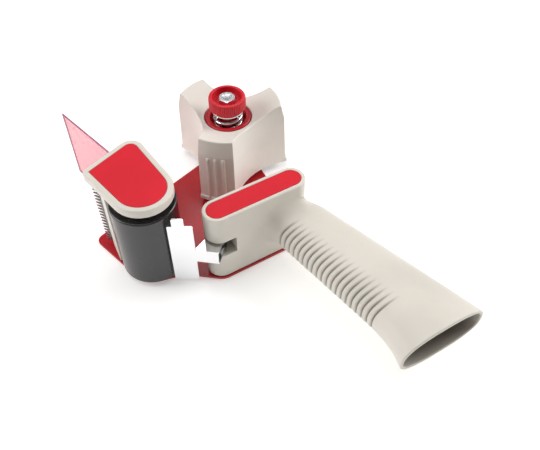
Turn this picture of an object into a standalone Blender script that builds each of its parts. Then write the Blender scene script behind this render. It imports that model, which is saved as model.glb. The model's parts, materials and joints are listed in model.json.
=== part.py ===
"""Pistol-grip dispenser for 50 mm packing tape, lying on its steel side plate.

Metres, +Z up. The origin is on the tape hub's axis, on the side plate's outer face. +X runs along
the handle housing towards its back end, +Y from the housing towards the hub, and +Z from the plate
to the open side that the tape roll is pushed on from.
"""

import math

import bmesh
import bpy
from mathutils import Matrix, Vector

MM = 0.001
GAP = 0.3 * MM                     # clearance between pieces that touch or run on each other

# Tape that the dispenser takes: all other sizes follow what this roll needs.
CORE_RADIUS = 38.2 * MM            # half of a 76.4 mm seat for a 76 mm tape core
ROLLER_LENGTH = 52.9 * MM          # for tape up to 50 mm wide

# Side plate
PLATE_T = 1.5 * MM
SEAT = PLATE_T + GAP               # height at which pieces stand on the plate

# Countersunk screws, put in from the plate's outer face
SCREW_R = 1.9 * MM
SCREW_HEAD_R = SCREW_R + 1.3 * MM
SCREW_LENGTH = 11.5 * MM
SCREW_SUNK = 0.1 * MM
SCREW_SLOT = 0.8 * MM
BOSS_R = SCREW_R + 2.4 * MM

# Tape hub
HUB_BASE = SEAT + 3.0 * MM
HUB_H = 49.7 * MM
HUB_TIP_Z = HUB_BASE + HUB_H
HUB_LEAD_Z = HUB_TIP_Z - 11.5 * MM       # where the lead-in slope starts
HUB_LEAD_R = CORE_RADIUS - 1.2 * MM      # lobe radius there
HUB_TOP_R = CORE_RADIUS - 3.5 * MM       # lobe radius at the very top
HUB_DISH_Z = HUB_TIP_Z - 7.8 * MM        # height of the dished middle of the top
HUB_LIP = 1.3 * MM
HUB_LIP_H = 3.2 * MM
HUB_LIP_EASE = math.radians(0.6)       # the ledge stops this short of the lobe's corners
HUB_WAIST = 0.53                   # waist radius as a share of the lobe radius
HUB_LOBES = 3
HUB_LOBE_ANGLE = math.radians(-132.1)
HUB_LOBE_HALF = math.radians(18.0)
HUB_WALL = 2.4 * MM
RIB_WIDTH = 2.4 * MM
RIB_PITCH = 5.0 * MM
RIB_PROUD = 0.8 * MM
RIB_TOP = HUB_LEAD_Z - 1.2 * MM

# Brake: a cup in the hub, and a spring that the knob presses into it
CUP_R = 15.0 * MM
CUP_RING = 3.3 * MM
CUP_FLOOR = 2.0 * MM
CUP_H = 10.6 * MM
CUP_TOP = HUB_DISH_Z + 0.2 * MM
CUP_Z = CUP_TOP - CUP_H
HUB_DISH_R = CUP_R + 2.0 * MM
BOLT_R = 2.9 * MM                  # M6 thread
BOLT_HEX = 10.0 * MM               # across flats
BOLT_HEAD = 4.2 * MM
BOLT_SPARE = 4.0 * MM              # depth left under the bolt for tightening the knob
KNOB_R = 12.0 * MM
KNOB_Z = HUB_DISH_Z + 7.2 * MM
KNOB_H = 9.1 * MM
KNOB_RIDGES = 48
KNOB_RIDGE = 0.5 * MM
KNOB_RIM = 2.5 * MM
KNOB_FLOOR = 3.7 * MM
KNOB_EDGE = 0.7 * MM
SPRING_WIRE_R = 0.9 * MM
SPRING_R = CUP_R - CUP_RING - SPRING_WIRE_R - 1.8 * MM
SPRING_TURNS = 2.5
WASHER_R = SPRING_R + SPRING_WIRE_R + 0.8 * MM
WASHER_T = 1.2 * MM

# Hub post
POST_R = BOLT_R + 4.1 * MM
POST_TOP = CUP_Z - 1.3 * MM
POST_FLANGE_R = POST_R + 4.0 * MM
BOLT_END = POST_TOP - 19.0 * MM
TUBE_WALL = 3.0 * MM

# Roller
ROLLER_AXIS = (-81.5 * MM, -49.3 * MM)
ROLLER_R = 19.2 * MM
ROLLER_Z = SEAT + 2.1 * MM
ROLLER_TOP = ROLLER_Z + ROLLER_LENGTH
SLEEVE_T = 4.3 * MM
CORE_WALL = 2.0 * MM
CORE_WEB = 3.0 * MM
AXLE_R = 3.0 * MM
LOWER_BUSH_R = AXLE_R + 4.0 * MM
UPPER_BUSH_R = AXLE_R + 3.0 * MM

# Nose housing: a cap over the roller, carried by a wall and a foot. It is set out from the
# roller's two outermost lines, so that it keeps its clearances when the roller changes.
NOSE_X = ROLLER_AXIS[0] - ROLLER_R
NOSE_Y = ROLLER_AXIS[1] + ROLLER_R
CAP_Z = ROLLER_TOP + 4.2 * MM
CAP_T = 5.3 * MM
CAP_EDGE = 0.8 * MM
CAP_ROLLER_END = (ROLLER_AXIS[0] + 0.6 * MM, ROLLER_AXIS[1] - 0.4 * MM, ROLLER_R - 1.4 * MM)
CAP_TIP = (NOSE_X + 0.1 * MM, NOSE_Y + 7.4 * MM, 3.6 * MM)
CAP_BACK = (NOSE_X + 27.2 * MM, NOSE_Y + 12.6 * MM, 8.0 * MM)
CAP_BORDER = 3.3 * MM
INLAY_T = 1.2 * MM
NOSE_WALL = 2.0 * MM
NOSE_WALL_ANGLE = math.radians(146.634)  # where the wall's inner corner passes the roller
NOSE_WALL_CLEAR = GAP + 0.137 * MM
NOSE_WALL_END = (NOSE_X + 2.0 * MM, NOSE_Y + 5.5 * MM)
NOSE_TOP_START = (NOSE_X + 3.7 * MM, NOSE_Y + 7.9 * MM)
NOSE_TOP_END = (NOSE_X + 28.7 * MM, NOSE_Y + 16.2 * MM)
FOOT_T = 2.0 * MM
FOOT_TIP = (NOSE_X + 5.5 * MM, NOSE_Y + 3.6 * MM, 3.0 * MM)
FOOT_BACK = (NOSE_X + 27.2 * MM, NOSE_Y + 11.2 * MM, BOSS_R)
NOSE_SCREWS = ((NOSE_X + 13.7 * MM, NOSE_Y + 6.7 * MM), FOOT_BACK[:2])

# Cutting blade
BLADE_ROOT = (NOSE_X + 2.3 * MM, NOSE_Y + 7.6 * MM)
BLADE_ANGLE = math.radians(123.7)
BLADE_T = 0.8 * MM
BLADE_DEPTH = 9.0 * MM             # from the tooth roots to the back edge
BLADE_Z = SEAT + FOOT_T + GAP
BLADE_TEETH = 18
BLADE_LENGTH = ROLLER_LENGTH - 3.4 * MM
TOOTH_PITCH = BLADE_LENGTH / BLADE_TEETH
TOOTH_LENGTH = 4.3 * MM
RIVETS = 3
RIVET_R = 1.1 * MM
RIVET_HEAD_R = RIVET_R + 0.5 * MM
RIVET_HEAD_T = 0.8 * MM
RIVET_SETBACK = 6.5 * MM
MOUNT_T = 2.5 * MM

# Tape flap
FLAP_FOOT = (NOSE_X + 21.65 * MM, NOSE_Y + 13.8 * MM)
FLAP_ANGLE = math.radians(103.3)
FLAP_T = 0.6 * MM
FLAP_LENGTH = 59.8 * MM
FLAP_Z = ROLLER_Z + 1.3 * MM
FLAP_WIDTH = ROLLER_LENGTH - 2.0 * MM
FLAP_RIB_L = 4.6 * MM
FLAP_RIB_T = FLAP_T + 2.0 * MM

# Handle housing
HOUSING_NOSE = (-47.9 * MM, -74.2 * MM)
HOUSING_BACK = (0.9 * MM, HOUSING_NOSE[1])
HOUSING_R = 8.77 * MM
HOUSING_FRONT = HOUSING_NOSE[1] - HOUSING_R
HOUSING_TOP = 52.5 * MM
HOUSING_MIDDLE = (SEAT + HOUSING_TOP) / 2.0
HOUSING_WALL = 2.2 * MM
HOUSING_EDGE = 0.7 * MM
HOUSING_BORDER = 2.25 * MM
HOUSING_ROOF = 3.0 * MM
SLOT_H = 12.3 * MM
SLOT_Z = HOUSING_MIDDLE - SLOT_H / 2.0
SLOT_TOP = HOUSING_MIDDLE + SLOT_H / 2.0
SLOT_END = HOUSING_NOSE[0] + 6.8 * MM    # where the slot stops along the housing
SLOT_BACK = HOUSING_NOSE[1] + 6.2 * MM   # where the slot stops short of the hub side
HANDLE_SCREWS = (-24.0 * MM, -3.0 * MM)

# Outline of the side plate: it follows the hub, the housing, the roller and the nose
PLATE_HUB_R = 17.6 * MM            # rounded end under the hub
PLATE_MARGIN = 0.9 * MM            # how far the plate shows round the handle housing
PLATE_ROLLER_R = ROLLER_R - 3.4 * MM
PLATE_TIP = (NOSE_X - 0.4 * MM, NOSE_Y + 12.6 * MM)
PLATE_TIP_R = 5.0 * MM
PLATE_NOTCH = (-70.0 * MM, ROLLER_AXIS[1] - ROLLER_R + 0.2 * MM)

# Grip: a flat oval tube that leans back and widens towards its open mouth
GRIP_START = HOUSING_FRONT + 4.97 * MM
GRIP_JOIN = HOUSING_FRONT - 2.03 * MM    # where the plain section of the grip is measured
GRIP_END = -190.0 * MM
GRIP_MOUTH = GRIP_END - 4.7 * MM
GRIP_FRONT = (-19.65 * MM, -2.8 * MM)
GRIP_BACK = (16.23 * MM, 46.25 * MM)
GRIP_HALF = (10.9 * MM, 13.1 * MM)
GRIP_Z = HOUSING_MIDDLE - 1.3 * MM
GRIP_WALL = 2.2 * MM
GRIP_SQUARENESS = 2.6
GRIP_HOLLOW = HOUSING_FRONT - 6.03 * MM  # inner end of the hollow
JOIN_LENGTH = 11.0 * MM
JOIN_SHOULDER = 6.75 * MM                # how far below the housing's top the grip joins it
JOIN_RISE = HOUSING_TOP - JOIN_SHOULDER - GRIP_Z - GRIP_HALF[0]
JOIN_FRONT = 3.5 * MM
JOIN_BACK = 6.5 * MM
FLARE_START = GRIP_MOUTH + 34.7 * MM
FLARE = 7.1 * MM
LIP = 1.6 * MM
GROOVES = 20
GROOVE_START = GRIP_JOIN - 8.5 * MM
GROOVE_PITCH = 3.85 * MM
GROOVE_DEPTH = 0.8 * MM

# Tape retainer: a sprung steel plate beside the roller, on an arm that turns in the slot
RETAINER_ANGLE = math.radians(-77.712)   # where the plate's edge faces the roller
RETAINER_CLEAR = 1.474 * MM
RETAINER_BEND = (HOUSING_NOSE[0] - 17.1 * MM, HOUSING_NOSE[1] - 3.3 * MM)
RETAINER_ELBOW = (HOUSING_NOSE[0] - 7.0 * MM, HOUSING_FRONT - 3.03 * MM)
RETAINER_T = 1.0 * MM
RETAINER_Z = ROLLER_Z - 0.4 * MM
RETAINER_H = ROLLER_LENGTH - 4.9 * MM
TAB_START = 2.9 * MM
TAB_WIDTH = 7.0 * MM
TAB_H = 6.0 * MM
ARM_H = SLOT_H - 1.8 * MM
EAR_R = 4.2 * MM
PIN_R = 1.5 * MM
PIN_Z = SLOT_Z - 5.0 * MM
PIN_TOP = SLOT_TOP + 6.7 * MM
TORSION_R = PIN_R + 1.1 * MM
TORSION_WIRE_R = 0.4 * MM
TORSION_TURNS = 4

ROUND = 32                         # sides of a large circle
SMALL = 16                         # sides of a small one


def finish(name, colour, roughness, metallic=0.0, alpha=1.0):
    """A Principled material for one piece."""
    material = bpy.data.materials.new(name)
    material.use_nodes = True
    shader = material.node_tree.nodes["Principled BSDF"]
    shader.inputs["Base Color"].default_value = (*colour, 1.0)
    shader.inputs["Roughness"].default_value = roughness
    shader.inputs["Metallic"].default_value = metallic
    shader.inputs["Alpha"].default_value = alpha
    return material


BEIGE = (0.74, 0.71, 0.64)
RED = (0.72, 0.03, 0.05)
STEEL = (0.72, 0.72, 0.72)
BLACK = (0.02, 0.02, 0.02)
PINK = (0.9, 0.35, 0.42)


def plastic(name, colour=BEIGE):
    return finish(name, colour, 0.42)


def steel(name):
    return finish(name, STEEL, 0.2, 1.0)


def solid(name, mesh, material, origin=(0.0, 0.0, 0.0)):
    """Turn a closed bmesh into a named object whose origin is at the given point."""
    bmesh.ops.recalc_face_normals(mesh, faces=mesh.faces)
    bmesh.ops.translate(mesh, verts=mesh.verts, vec=-Vector(origin))
    data = bpy.data.meshes.new(name)
    mesh.to_mesh(data)
    mesh.free()
    data.shade_smooth()
    data.set_sharp_from_angle(angle=math.radians(35.0))
    data.materials.append(material)
    item = bpy.data.objects.new(name, data)
    item.location = origin
    bpy.context.collection.objects.link(item)
    return item


def boolean(item, name, mesh, operation):
    """Add one Boolean to a piece, with the tool kept as a hidden wire guide."""
    tool = solid(name, mesh, item.data.materials[0])
    tool.hide_render = True
    tool.display_type = "WIRE"
    modifier = item.modifiers.new(name, "BOOLEAN")
    modifier.operation = operation
    modifier.solver = "EXACT"
    modifier.object = tool
    return tool


def cut(item, name, mesh):
    return boolean(item, name + "_cutter", mesh, "DIFFERENCE")


def join(item, name, mesh):
    return boolean(item, name + "_guide", mesh, "UNION")


def loft(rings, closed=False):
    """Skin rings of equal point counts; the ends are capped unless the run closes on itself."""
    mesh = bmesh.new()
    rows = [[mesh.verts.new(point) for point in ring] for ring in rings]
    pairs = list(zip(rows, rows[1:]))
    if closed:
        pairs.append((rows[-1], rows[0]))
    for low, high in pairs:
        for i in range(len(low)):
            j = (i + 1) % len(low)
            mesh.faces.new((low[i], low[j], high[j], high[i]))
    if not closed:
        mesh.faces.new(rows[0])
        mesh.faces.new(rows[-1])
    return mesh


def prism(outline, low, high, edge=0.0, inset=None):
    """Extrude a plan outline; with an edge, its top is chamfered to the inset outline."""
    rings = [[(x, y, low) for x, y in outline]]
    if edge:
        rings.append([(x, y, high - edge) for x, y in outline])
        rings.append([(x, y, high) for x, y in inset])
    else:
        rings.append([(x, y, high) for x, y in outline])
    return loft(rings)


def belt(circles, steps=6):
    """Outline of a belt run clockwise round circles (x, y, radius); a radius of 0 is a corner."""
    count = len(circles)
    normals = []
    for i, (x, y, radius) in enumerate(circles):
        nx, ny, next_radius = circles[(i + 1) % count]
        along = Vector((nx - x, ny - y))
        share = (radius - next_radius) / along.length
        along.normalize()
        across = Vector((-along.y, along.x))
        normals.append(along * share + across * math.sqrt(1.0 - share * share))
    outline = []
    for i, (x, y, radius) in enumerate(circles):
        centre = Vector((x, y))
        if radius == 0.0:
            outline.append(tuple(centre))
            continue
        start = math.atan2(normals[i - 1].y, normals[i - 1].x)
        end = math.atan2(normals[i].y, normals[i].x)
        while end > start:
            end -= 2.0 * math.pi
        for k in range(steps + 1):
            angle = start + (end - start) * k / steps
            outline.append((x + radius * math.cos(angle), y + radius * math.sin(angle)))
    return outline


def inset_belt(circles, amount, steps=6):
    """The same belt drawn in by an amount on every side."""
    return belt([(x, y, radius - amount) for x, y, radius in circles], steps)


def circle(x, y, radius, sides=SMALL):
    angles = [2.0 * math.pi * i / sides for i in range(sides)]
    return [(x + radius * math.cos(a), y + radius * math.sin(a)) for a in angles]


def rod(x, y, radius, low, high, sides=SMALL):
    return prism(circle(x, y, radius, sides), low, high)


def box(low, high):
    (x0, y0, z0), (x1, y1, z1) = low, high
    return prism([(x0, y0), (x1, y0), (x1, y1), (x0, y1)], z0, z1)


def strip(start, end, thickness):
    """Plan outline of a flat strip between two points, centred on the line between them."""
    along = (Vector(end) - Vector(start)).normalized()
    side = Vector((-along.y, along.x)) * thickness / 2.0
    corners = (Vector(start) - side, Vector(end) - side, Vector(end) + side, Vector(start) + side)
    return [tuple(corner) for corner in corners]


def turned(x, y, profile, sides=ROUND):
    """Turn a closed (radius, z) profile that stays off the axis."""
    angles = [2.0 * math.pi * i / sides for i in range(sides)]
    rings = [[(x + r * math.cos(a), y + r * math.sin(a), z) for a in angles] for r, z in profile]
    return loft(rings, closed=True)


def shaft(x, y, profile, sides=SMALL):
    """Turn an open (radius, z) profile and cap both of its ends."""
    angles = [2.0 * math.pi * i / sides for i in range(sides)]
    rings = [[(x + r * math.cos(a), y + r * math.sin(a), z) for a in angles] for r, z in profile]
    return loft(rings)


def helix(x, y, radius, wire, low, high, turns, sides=6, steps=14):
    """A coil of round wire between two heights, its outer wire surfaces touching both."""
    rings = []
    count = round(turns * steps)
    rise = (high - low - 2.0 * wire) / count
    for i in range(count + 1):
        angle = 2.0 * math.pi * i / steps
        outward = Vector((math.cos(angle), math.sin(angle), 0.0))
        centre = Vector((x, y, low + wire + rise * i)) + outward * radius
        ring = []
        for k in range(sides):
            around = 2.0 * math.pi * k / sides
            ring.append(centre + outward * wire * math.cos(around) + Vector((0, 0, wire * math.sin(around))))
        rings.append(ring)
    return loft(rings)


# ---------------------------------------------------------------- side plate and its screws

def plate_circles():
    border = HOUSING_R + PLATE_MARGIN
    return [
        (0.0, 0.0, PLATE_HUB_R),
        (*HOUSING_BACK, border),
        (*HOUSING_NOSE, border),
        (*PLATE_NOTCH, 0.0),
        (*ROLLER_AXIS, PLATE_ROLLER_R),
        (*PLATE_TIP, PLATE_TIP_R),
    ]


def screw_places():
    """Name and plan position of each countersunk screw."""
    places = [("handle_screw_1", HANDLE_SCREWS[0], HOUSING_NOSE[1])]
    places.append(("handle_screw_2", HANDLE_SCREWS[1], HOUSING_NOSE[1]))
    places.append(("handle_screw_3", *HOUSING_NOSE))
    places.append(("nose_screw_1", *NOSE_SCREWS[0]))
    places.append(("nose_screw_2", *NOSE_SCREWS[1]))
    return places


def countersink(x, y, clearance, low, high):
    """Cone and shank of a screw, or, with a clearance, the hole for it."""
    head = SCREW_HEAD_R + SCREW_SUNK + clearance
    shank = SCREW_R + clearance
    profile = [(head - low, low), (shank, head - shank), (shank, high)]
    return shaft(x, y, profile)


def make_plate():
    plate = solid("side_plate", prism(belt(plate_circles(), 8), 0.0, PLATE_T), finish("plate_red", RED, 0.3))
    for name, x, y in screw_places():
        cut(plate, name + "_hole", countersink(x, y, GAP, -GAP, PLATE_T + GAP))
    for name, x, y in screw_places():
        screw = solid(name, countersink(x, y, 0.0, SCREW_SUNK, SCREW_LENGTH), steel(name))
        low = (x - SCREW_HEAD_R * 0.7, y - SCREW_SLOT / 2.0, -GAP)
        high = (x + SCREW_HEAD_R * 0.7, y + SCREW_SLOT / 2.0, SCREW_SLOT)
        cut(screw, name + "_slot", box(low, high))


# ---------------------------------------------------------------- tape hub and its brake

def hub_outline(lobe_r, z, arc=4, waist=6):
    """Three lobes with hollow waists between them; the waist's depth follows the lobe radius."""
    points = []
    turn = 2.0 * math.pi / HUB_LOBES
    for lobe in range(HUB_LOBES):
        middle = HUB_LOBE_ANGLE + lobe * turn
        for k in range(arc + 1):
            angle = middle - HUB_LOBE_HALF + 2.0 * HUB_LOBE_HALF * k / arc
            points.append(Vector((lobe_r * math.cos(angle), lobe_r * math.sin(angle), z)))
        first = points[-1]
        angle = middle + turn - HUB_LOBE_HALF
        last = Vector((lobe_r * math.cos(angle), lobe_r * math.sin(angle), z))
        angle = middle + turn / 2.0
        pull = 2.0 * HUB_WAIST * lobe_r - lobe_r * math.cos(turn / 2.0 - HUB_LOBE_HALF)
        bend = Vector((pull * math.cos(angle), pull * math.sin(angle), z))
        for k in range(1, waist):
            t = k / waist
            points.append(first * (1 - t) ** 2 + bend * 2 * t * (1 - t) + last * t ** 2)
    return points


def dish(depth):
    """Cone that dishes the hub's top, lowered by a depth."""
    slope = (HUB_TIP_Z - HUB_DISH_Z) / (HUB_TOP_R - HUB_DISH_R)
    outer = CORE_RADIUS + 4.0 * MM
    floor = HUB_DISH_Z - depth
    rim = floor + (outer - HUB_DISH_R) * slope
    return shaft(0.0, 0.0, [(HUB_DISH_R, floor), (outer, rim), (outer, HUB_TIP_Z + 20.0 * MM)], ROUND)


def make_hub():
    lip_z = HUB_BASE + HUB_LIP_H
    body_r = CORE_RADIUS - 0.1 * MM
    top_r = HUB_TOP_R - (HUB_LEAD_R - HUB_TOP_R) * 0.25
    top_z = HUB_TIP_Z + (HUB_TIP_Z - HUB_LEAD_Z) * 0.25
    straight_z = lip_z + HUB_LIP_H / 2.0
    levels = [(body_r, HUB_BASE), (body_r, straight_z), (HUB_LEAD_R, HUB_LEAD_Z), (top_r, top_z)]
    hub = solid("tape_hub", loft([hub_outline(r, z) for r, z in levels]), plastic("hub_beige"))
    cut(hub, "hub_dish", dish(0.0))
    levels = [(body_r, HUB_BASE - GAP), (HUB_LEAD_R, HUB_LEAD_Z), (top_r, top_z)]
    hollow = loft([hub_outline(r - HUB_WALL, z) for r, z in levels])
    core = cut(hub, "hub_hollow", hollow)
    cut(core, "hub_hollow_dish", dish(HUB_WALL))
    tube_r = POST_R + GAP + TUBE_WALL
    well_r = CUP_R + GAP
    shoulder = CUP_Z - GAP - TUBE_WALL
    profile = [(tube_r, HUB_BASE), (tube_r, shoulder - TUBE_WALL), (well_r + HUB_WALL, shoulder + TUBE_WALL)]
    profile.append((well_r + HUB_WALL, HUB_DISH_Z))
    join(hub, "hub_tube", shaft(0.0, 0.0, profile, ROUND))
    cut(hub, "hub_well", rod(0.0, 0.0, well_r, CUP_Z - GAP, HUB_TIP_Z, ROUND))
    cut(hub, "hub_bore", rod(0.0, 0.0, POST_R + GAP, 0.0, CUP_Z, ROUND))
    turn = 2.0 * math.pi / HUB_LOBES
    for lobe in range(HUB_LOBES):
        angle = HUB_LOBE_ANGLE + lobe * turn
        join(hub, f"hub_lip_{lobe}", hub_lip(angle, body_r - HUB_WALL / 2.0, lip_z))
        for step in (-1, 0, 1):
            join(hub, f"hub_rib_{lobe}_{step + 1}", hub_rib(angle, step * RIB_PITCH))


def hub_lip(angle, inner, lip_z):
    """A ledge round the foot of one lobe, which the tape's core rests on."""
    outer = CORE_RADIUS + HUB_LIP
    half = HUB_LOBE_HALF - HUB_LIP_EASE
    turns = [angle + half * k / 4.0 for k in range(-4, 5)]
    outline = [(outer * math.cos(a), outer * math.sin(a)) for a in turns]
    outline += [(inner * math.cos(a), inner * math.sin(a)) for a in reversed(turns)]
    return prism(outline, HUB_BASE, lip_z)


def hub_rib(angle, offset):
    """A raised rib down a lobe's face that helps to grip the tape's core."""
    low_z = HUB_BASE + HUB_LIP_H / 2.0
    slope = (CORE_RADIUS - HUB_LEAD_R) / (HUB_LEAD_Z - HUB_BASE)
    face = math.sqrt(CORE_RADIUS ** 2 - offset ** 2)
    rings = []
    for z, width, proud in ((low_z, 1.0, 1.0), (RIB_TOP - RIB_WIDTH / 2.0, 1.0, 1.0), (RIB_TOP, 0.4, 0.0)):
        outer = face - slope * (z - HUB_BASE) + RIB_PROUD * proud
        inner = outer - HUB_WALL
        half = RIB_WIDTH * width / 2.0
        corners = [(inner, -half), (outer - half / 2.0, -half), (outer, -half / 2.0)]
        corners += [(outer, half / 2.0), (outer - half / 2.0, half), (inner, half)]
        ring = [Matrix.Rotation(angle, 3, "Z") @ Vector((x, offset + y, z)) for x, y in corners]
        rings.append(ring)
    return loft(rings)


def make_brake():
    profile = [(POST_FLANGE_R, SEAT), (POST_FLANGE_R, HUB_BASE - GAP)]
    profile += [(POST_R, HUB_BASE - GAP), (POST_R, POST_TOP)]
    post = solid("hub_post", shaft(0.0, 0.0, profile, ROUND), steel("post_steel"))
    cut(post, "post_thread", rod(0.0, 0.0, BOLT_R + GAP, BOLT_END - BOLT_SPARE, POST_TOP + GAP))

    edge = KNOB_EDGE / 2.0
    inner = CUP_R - CUP_RING
    bore = BOLT_R + 2.0 * MM
    profile = [(bore, CUP_Z), (CUP_R, CUP_Z), (CUP_R, CUP_TOP - edge), (CUP_R - edge, CUP_TOP)]
    profile += [(inner + edge, CUP_TOP), (inner, CUP_TOP - edge)]
    profile += [(inner, CUP_Z + CUP_FLOOR), (bore, CUP_Z + CUP_FLOOR)]
    solid("brake_cup", turned(0.0, 0.0, profile), plastic("cup_red", RED))

    washer_z = KNOB_Z - GAP - WASHER_T
    spring_low = CUP_Z + CUP_FLOOR + GAP
    wire = helix(0.0, 0.0, SPRING_R, SPRING_WIRE_R, spring_low, washer_z - GAP, SPRING_TURNS)
    solid("brake_spring", wire, steel("spring_steel"), (0.0, 0.0, spring_low))

    hole = BOLT_R + GAP
    washer_top = washer_z + WASHER_T
    profile = [(hole, washer_z), (WASHER_R, washer_z), (WASHER_R, washer_top), (hole, washer_top)]
    solid("brake_washer", turned(0.0, 0.0, profile), steel("washer_steel"), (0.0, 0.0, washer_z))

    top = KNOB_Z + KNOB_H
    rings = []
    for radius, z in ((KNOB_R - KNOB_EDGE, KNOB_Z), (KNOB_R, KNOB_Z + KNOB_EDGE),
                      (KNOB_R, top - KNOB_EDGE), (KNOB_R - KNOB_EDGE, top)):
        rings.append([(x, y, z) for x, y in ridged(radius)])
    knob = solid("brake_knob", loft(rings), plastic("knob_red", RED), (0.0, 0.0, KNOB_Z))
    cut(knob, "knob_recess", rod(0.0, 0.0, KNOB_R - KNOB_RIM, KNOB_Z + KNOB_FLOOR, top + GAP, ROUND))
    cut(knob, "knob_bore", rod(0.0, 0.0, hole, KNOB_Z - GAP, top))

    head_z = KNOB_Z + KNOB_FLOOR + GAP
    corner = BOLT_HEX / math.sqrt(3.0)
    head = rod(0.0, 0.0, corner, head_z, head_z + BOLT_HEAD, 6)
    bolt = solid("brake_bolt", head, steel("bolt_zinc"), (0.0, 0.0, head_z))
    join(bolt, "bolt_shank", rod(0.0, 0.0, BOLT_R, BOLT_END, head_z + BOLT_HEAD / 2.0))


def ridged(radius):
    """Plan outline of the knob: fine ridges all the way round."""
    points = []
    for i in range(2 * KNOB_RIDGES):
        angle = math.pi * i / KNOB_RIDGES
        r = radius - KNOB_RIDGE * (i % 2)
        points.append((r * math.cos(angle), r * math.sin(angle)))
    return points


# ---------------------------------------------------------------- roller

def make_roller():
    x, y = ROLLER_AXIS
    low = ROLLER_Z
    high = ROLLER_TOP
    inner = ROLLER_R - SLEEVE_T
    edge = CAP_EDGE
    profile = [(inner, low), (ROLLER_R - edge, low), (ROLLER_R, low + edge)]
    profile += [(ROLLER_R, high - edge), (ROLLER_R - edge, high), (inner, high)]
    solid("roller_sleeve", turned(x, y, profile, 40), finish("roller_rubber", BLACK, 0.5), (x, y, low))

    outer = inner - GAP
    skin = outer - CORE_WALL
    bore = AXLE_R + GAP
    boss = bore + CORE_WALL
    web = (low + high) / 2.0
    half = CORE_WEB / 2.0
    profile = [(outer, low + GAP), (outer, high - GAP), (skin, high - GAP), (skin, web + half)]
    profile += [(boss, web + half), (boss, high - GAP), (bore, high - GAP), (bore, low + GAP)]
    profile += [(boss, low + GAP), (boss, web - half)]
    profile += [(skin, web - half), (skin, low + GAP)]
    solid("roller_core", turned(x, y, profile), plastic("core_black", BLACK), (x, y, low))

    axle_top = CAP_Z + CAP_T - INLAY_T - GAP - 1.6 * MM
    solid("roller_axle", rod(x, y, AXLE_R, SEAT, axle_top), steel("axle_steel"))
    bushes = [("roller_bush_lower", LOWER_BUSH_R, SEAT, low - GAP)]
    bushes.append(("roller_bush_upper", UPPER_BUSH_R, high + GAP, CAP_Z - GAP))
    for name, radius, z0, z1 in bushes:
        profile = [(bore, z0), (radius, z0), (radius, z1), (bore, z1)]
        solid(name, turned(x, y, profile, 24), plastic(name, BLACK))
    return axle_top


# ---------------------------------------------------------------- nose housing, blade and flap

def blade_axes():
    """Unit vectors from the blade's back to its teeth, and off its inner face."""
    along = Vector((math.cos(BLADE_ANGLE), math.sin(BLADE_ANGLE)))
    return along, Vector((along.y, -along.x))


def make_nose(axle_top):
    circles = [CAP_BACK, CAP_ROLLER_END, CAP_TIP]
    top = CAP_Z + CAP_T
    cap = prism(belt(circles, 8), CAP_Z, top, CAP_EDGE, inset_belt(circles, CAP_EDGE, 8))
    nose = solid("nose_housing", cap, plastic("nose_beige"))
    roof = CAP_Z + CAP_T / 4.0

    along, inward = blade_axes()
    root = Vector(BLADE_ROOT)
    face = BLADE_T / 2.0 + GAP
    wall = NOSE_WALL
    facing = Vector((math.cos(NOSE_WALL_ANGLE), math.sin(NOSE_WALL_ANGLE)))
    inner = Vector(ROLLER_AXIS) + facing * (ROLLER_R + NOSE_WALL_CLEAR)
    end = Vector(NOSE_WALL_END)
    corner = end + Vector((wall * 0.9, -wall * 0.8))
    left = [tuple(inner - Vector((wall, 0.0))), tuple(inner), tuple(corner), tuple(end)]
    join(nose, "left_wall", prism(left, SEAT, roof))
    join(nose, "top_wall", prism(strip(NOSE_TOP_START, NOSE_TOP_END, wall), SEAT, roof))
    mount = face + MOUNT_T / 2.0
    mount_start = root + inward * mount - along * BLADE_DEPTH
    mount_end = root + inward * mount
    join(nose, "blade_mount", prism(strip(mount_start, mount_end, MOUNT_T), SEAT, roof))
    join(nose, "foot", prism(belt([FOOT_TIP, FOOT_BACK]), SEAT, SEAT + FOOT_T))
    for i, (x, y) in enumerate(NOSE_SCREWS):
        join(nose, f"column_{i}", rod(x, y, BOSS_R - GAP, SEAT + GAP, roof, 20))

    out = Vector((math.cos(FLAP_ANGLE), math.sin(FLAP_ANGLE)))
    foot = Vector(FLAP_FOOT)
    rib = strip(foot - out * wall, foot + out * FLAP_RIB_L, FLAP_RIB_T)
    join(nose, "flap_rib", prism(rib, FLAP_Z, FLAP_Z + FLAP_WIDTH))

    inlay = inset_belt(circles, CAP_BORDER, 8)
    floor = top - INLAY_T - GAP
    cut(nose, "inlay_recess", prism(inlay, floor, top + GAP))
    cut(nose, "axle_hole", rod(*ROLLER_AXIS, AXLE_R + GAP, CAP_Z - GAP, axle_top + GAP))
    for i, (x, y) in enumerate(NOSE_SCREWS):
        cut(nose, f"pilot_{i}", rod(x, y, SCREW_R + GAP, 0.0, SCREW_LENGTH + 2.0 * MM))

    inlay = inset_belt(circles, CAP_BORDER + GAP, 8)
    solid("nose_inlay", prism(inlay, floor + GAP, top), plastic("nose_inlay_red", RED))
    make_blade(nose)
    make_flap(foot + out * (FLAP_RIB_L + GAP), out)


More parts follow.
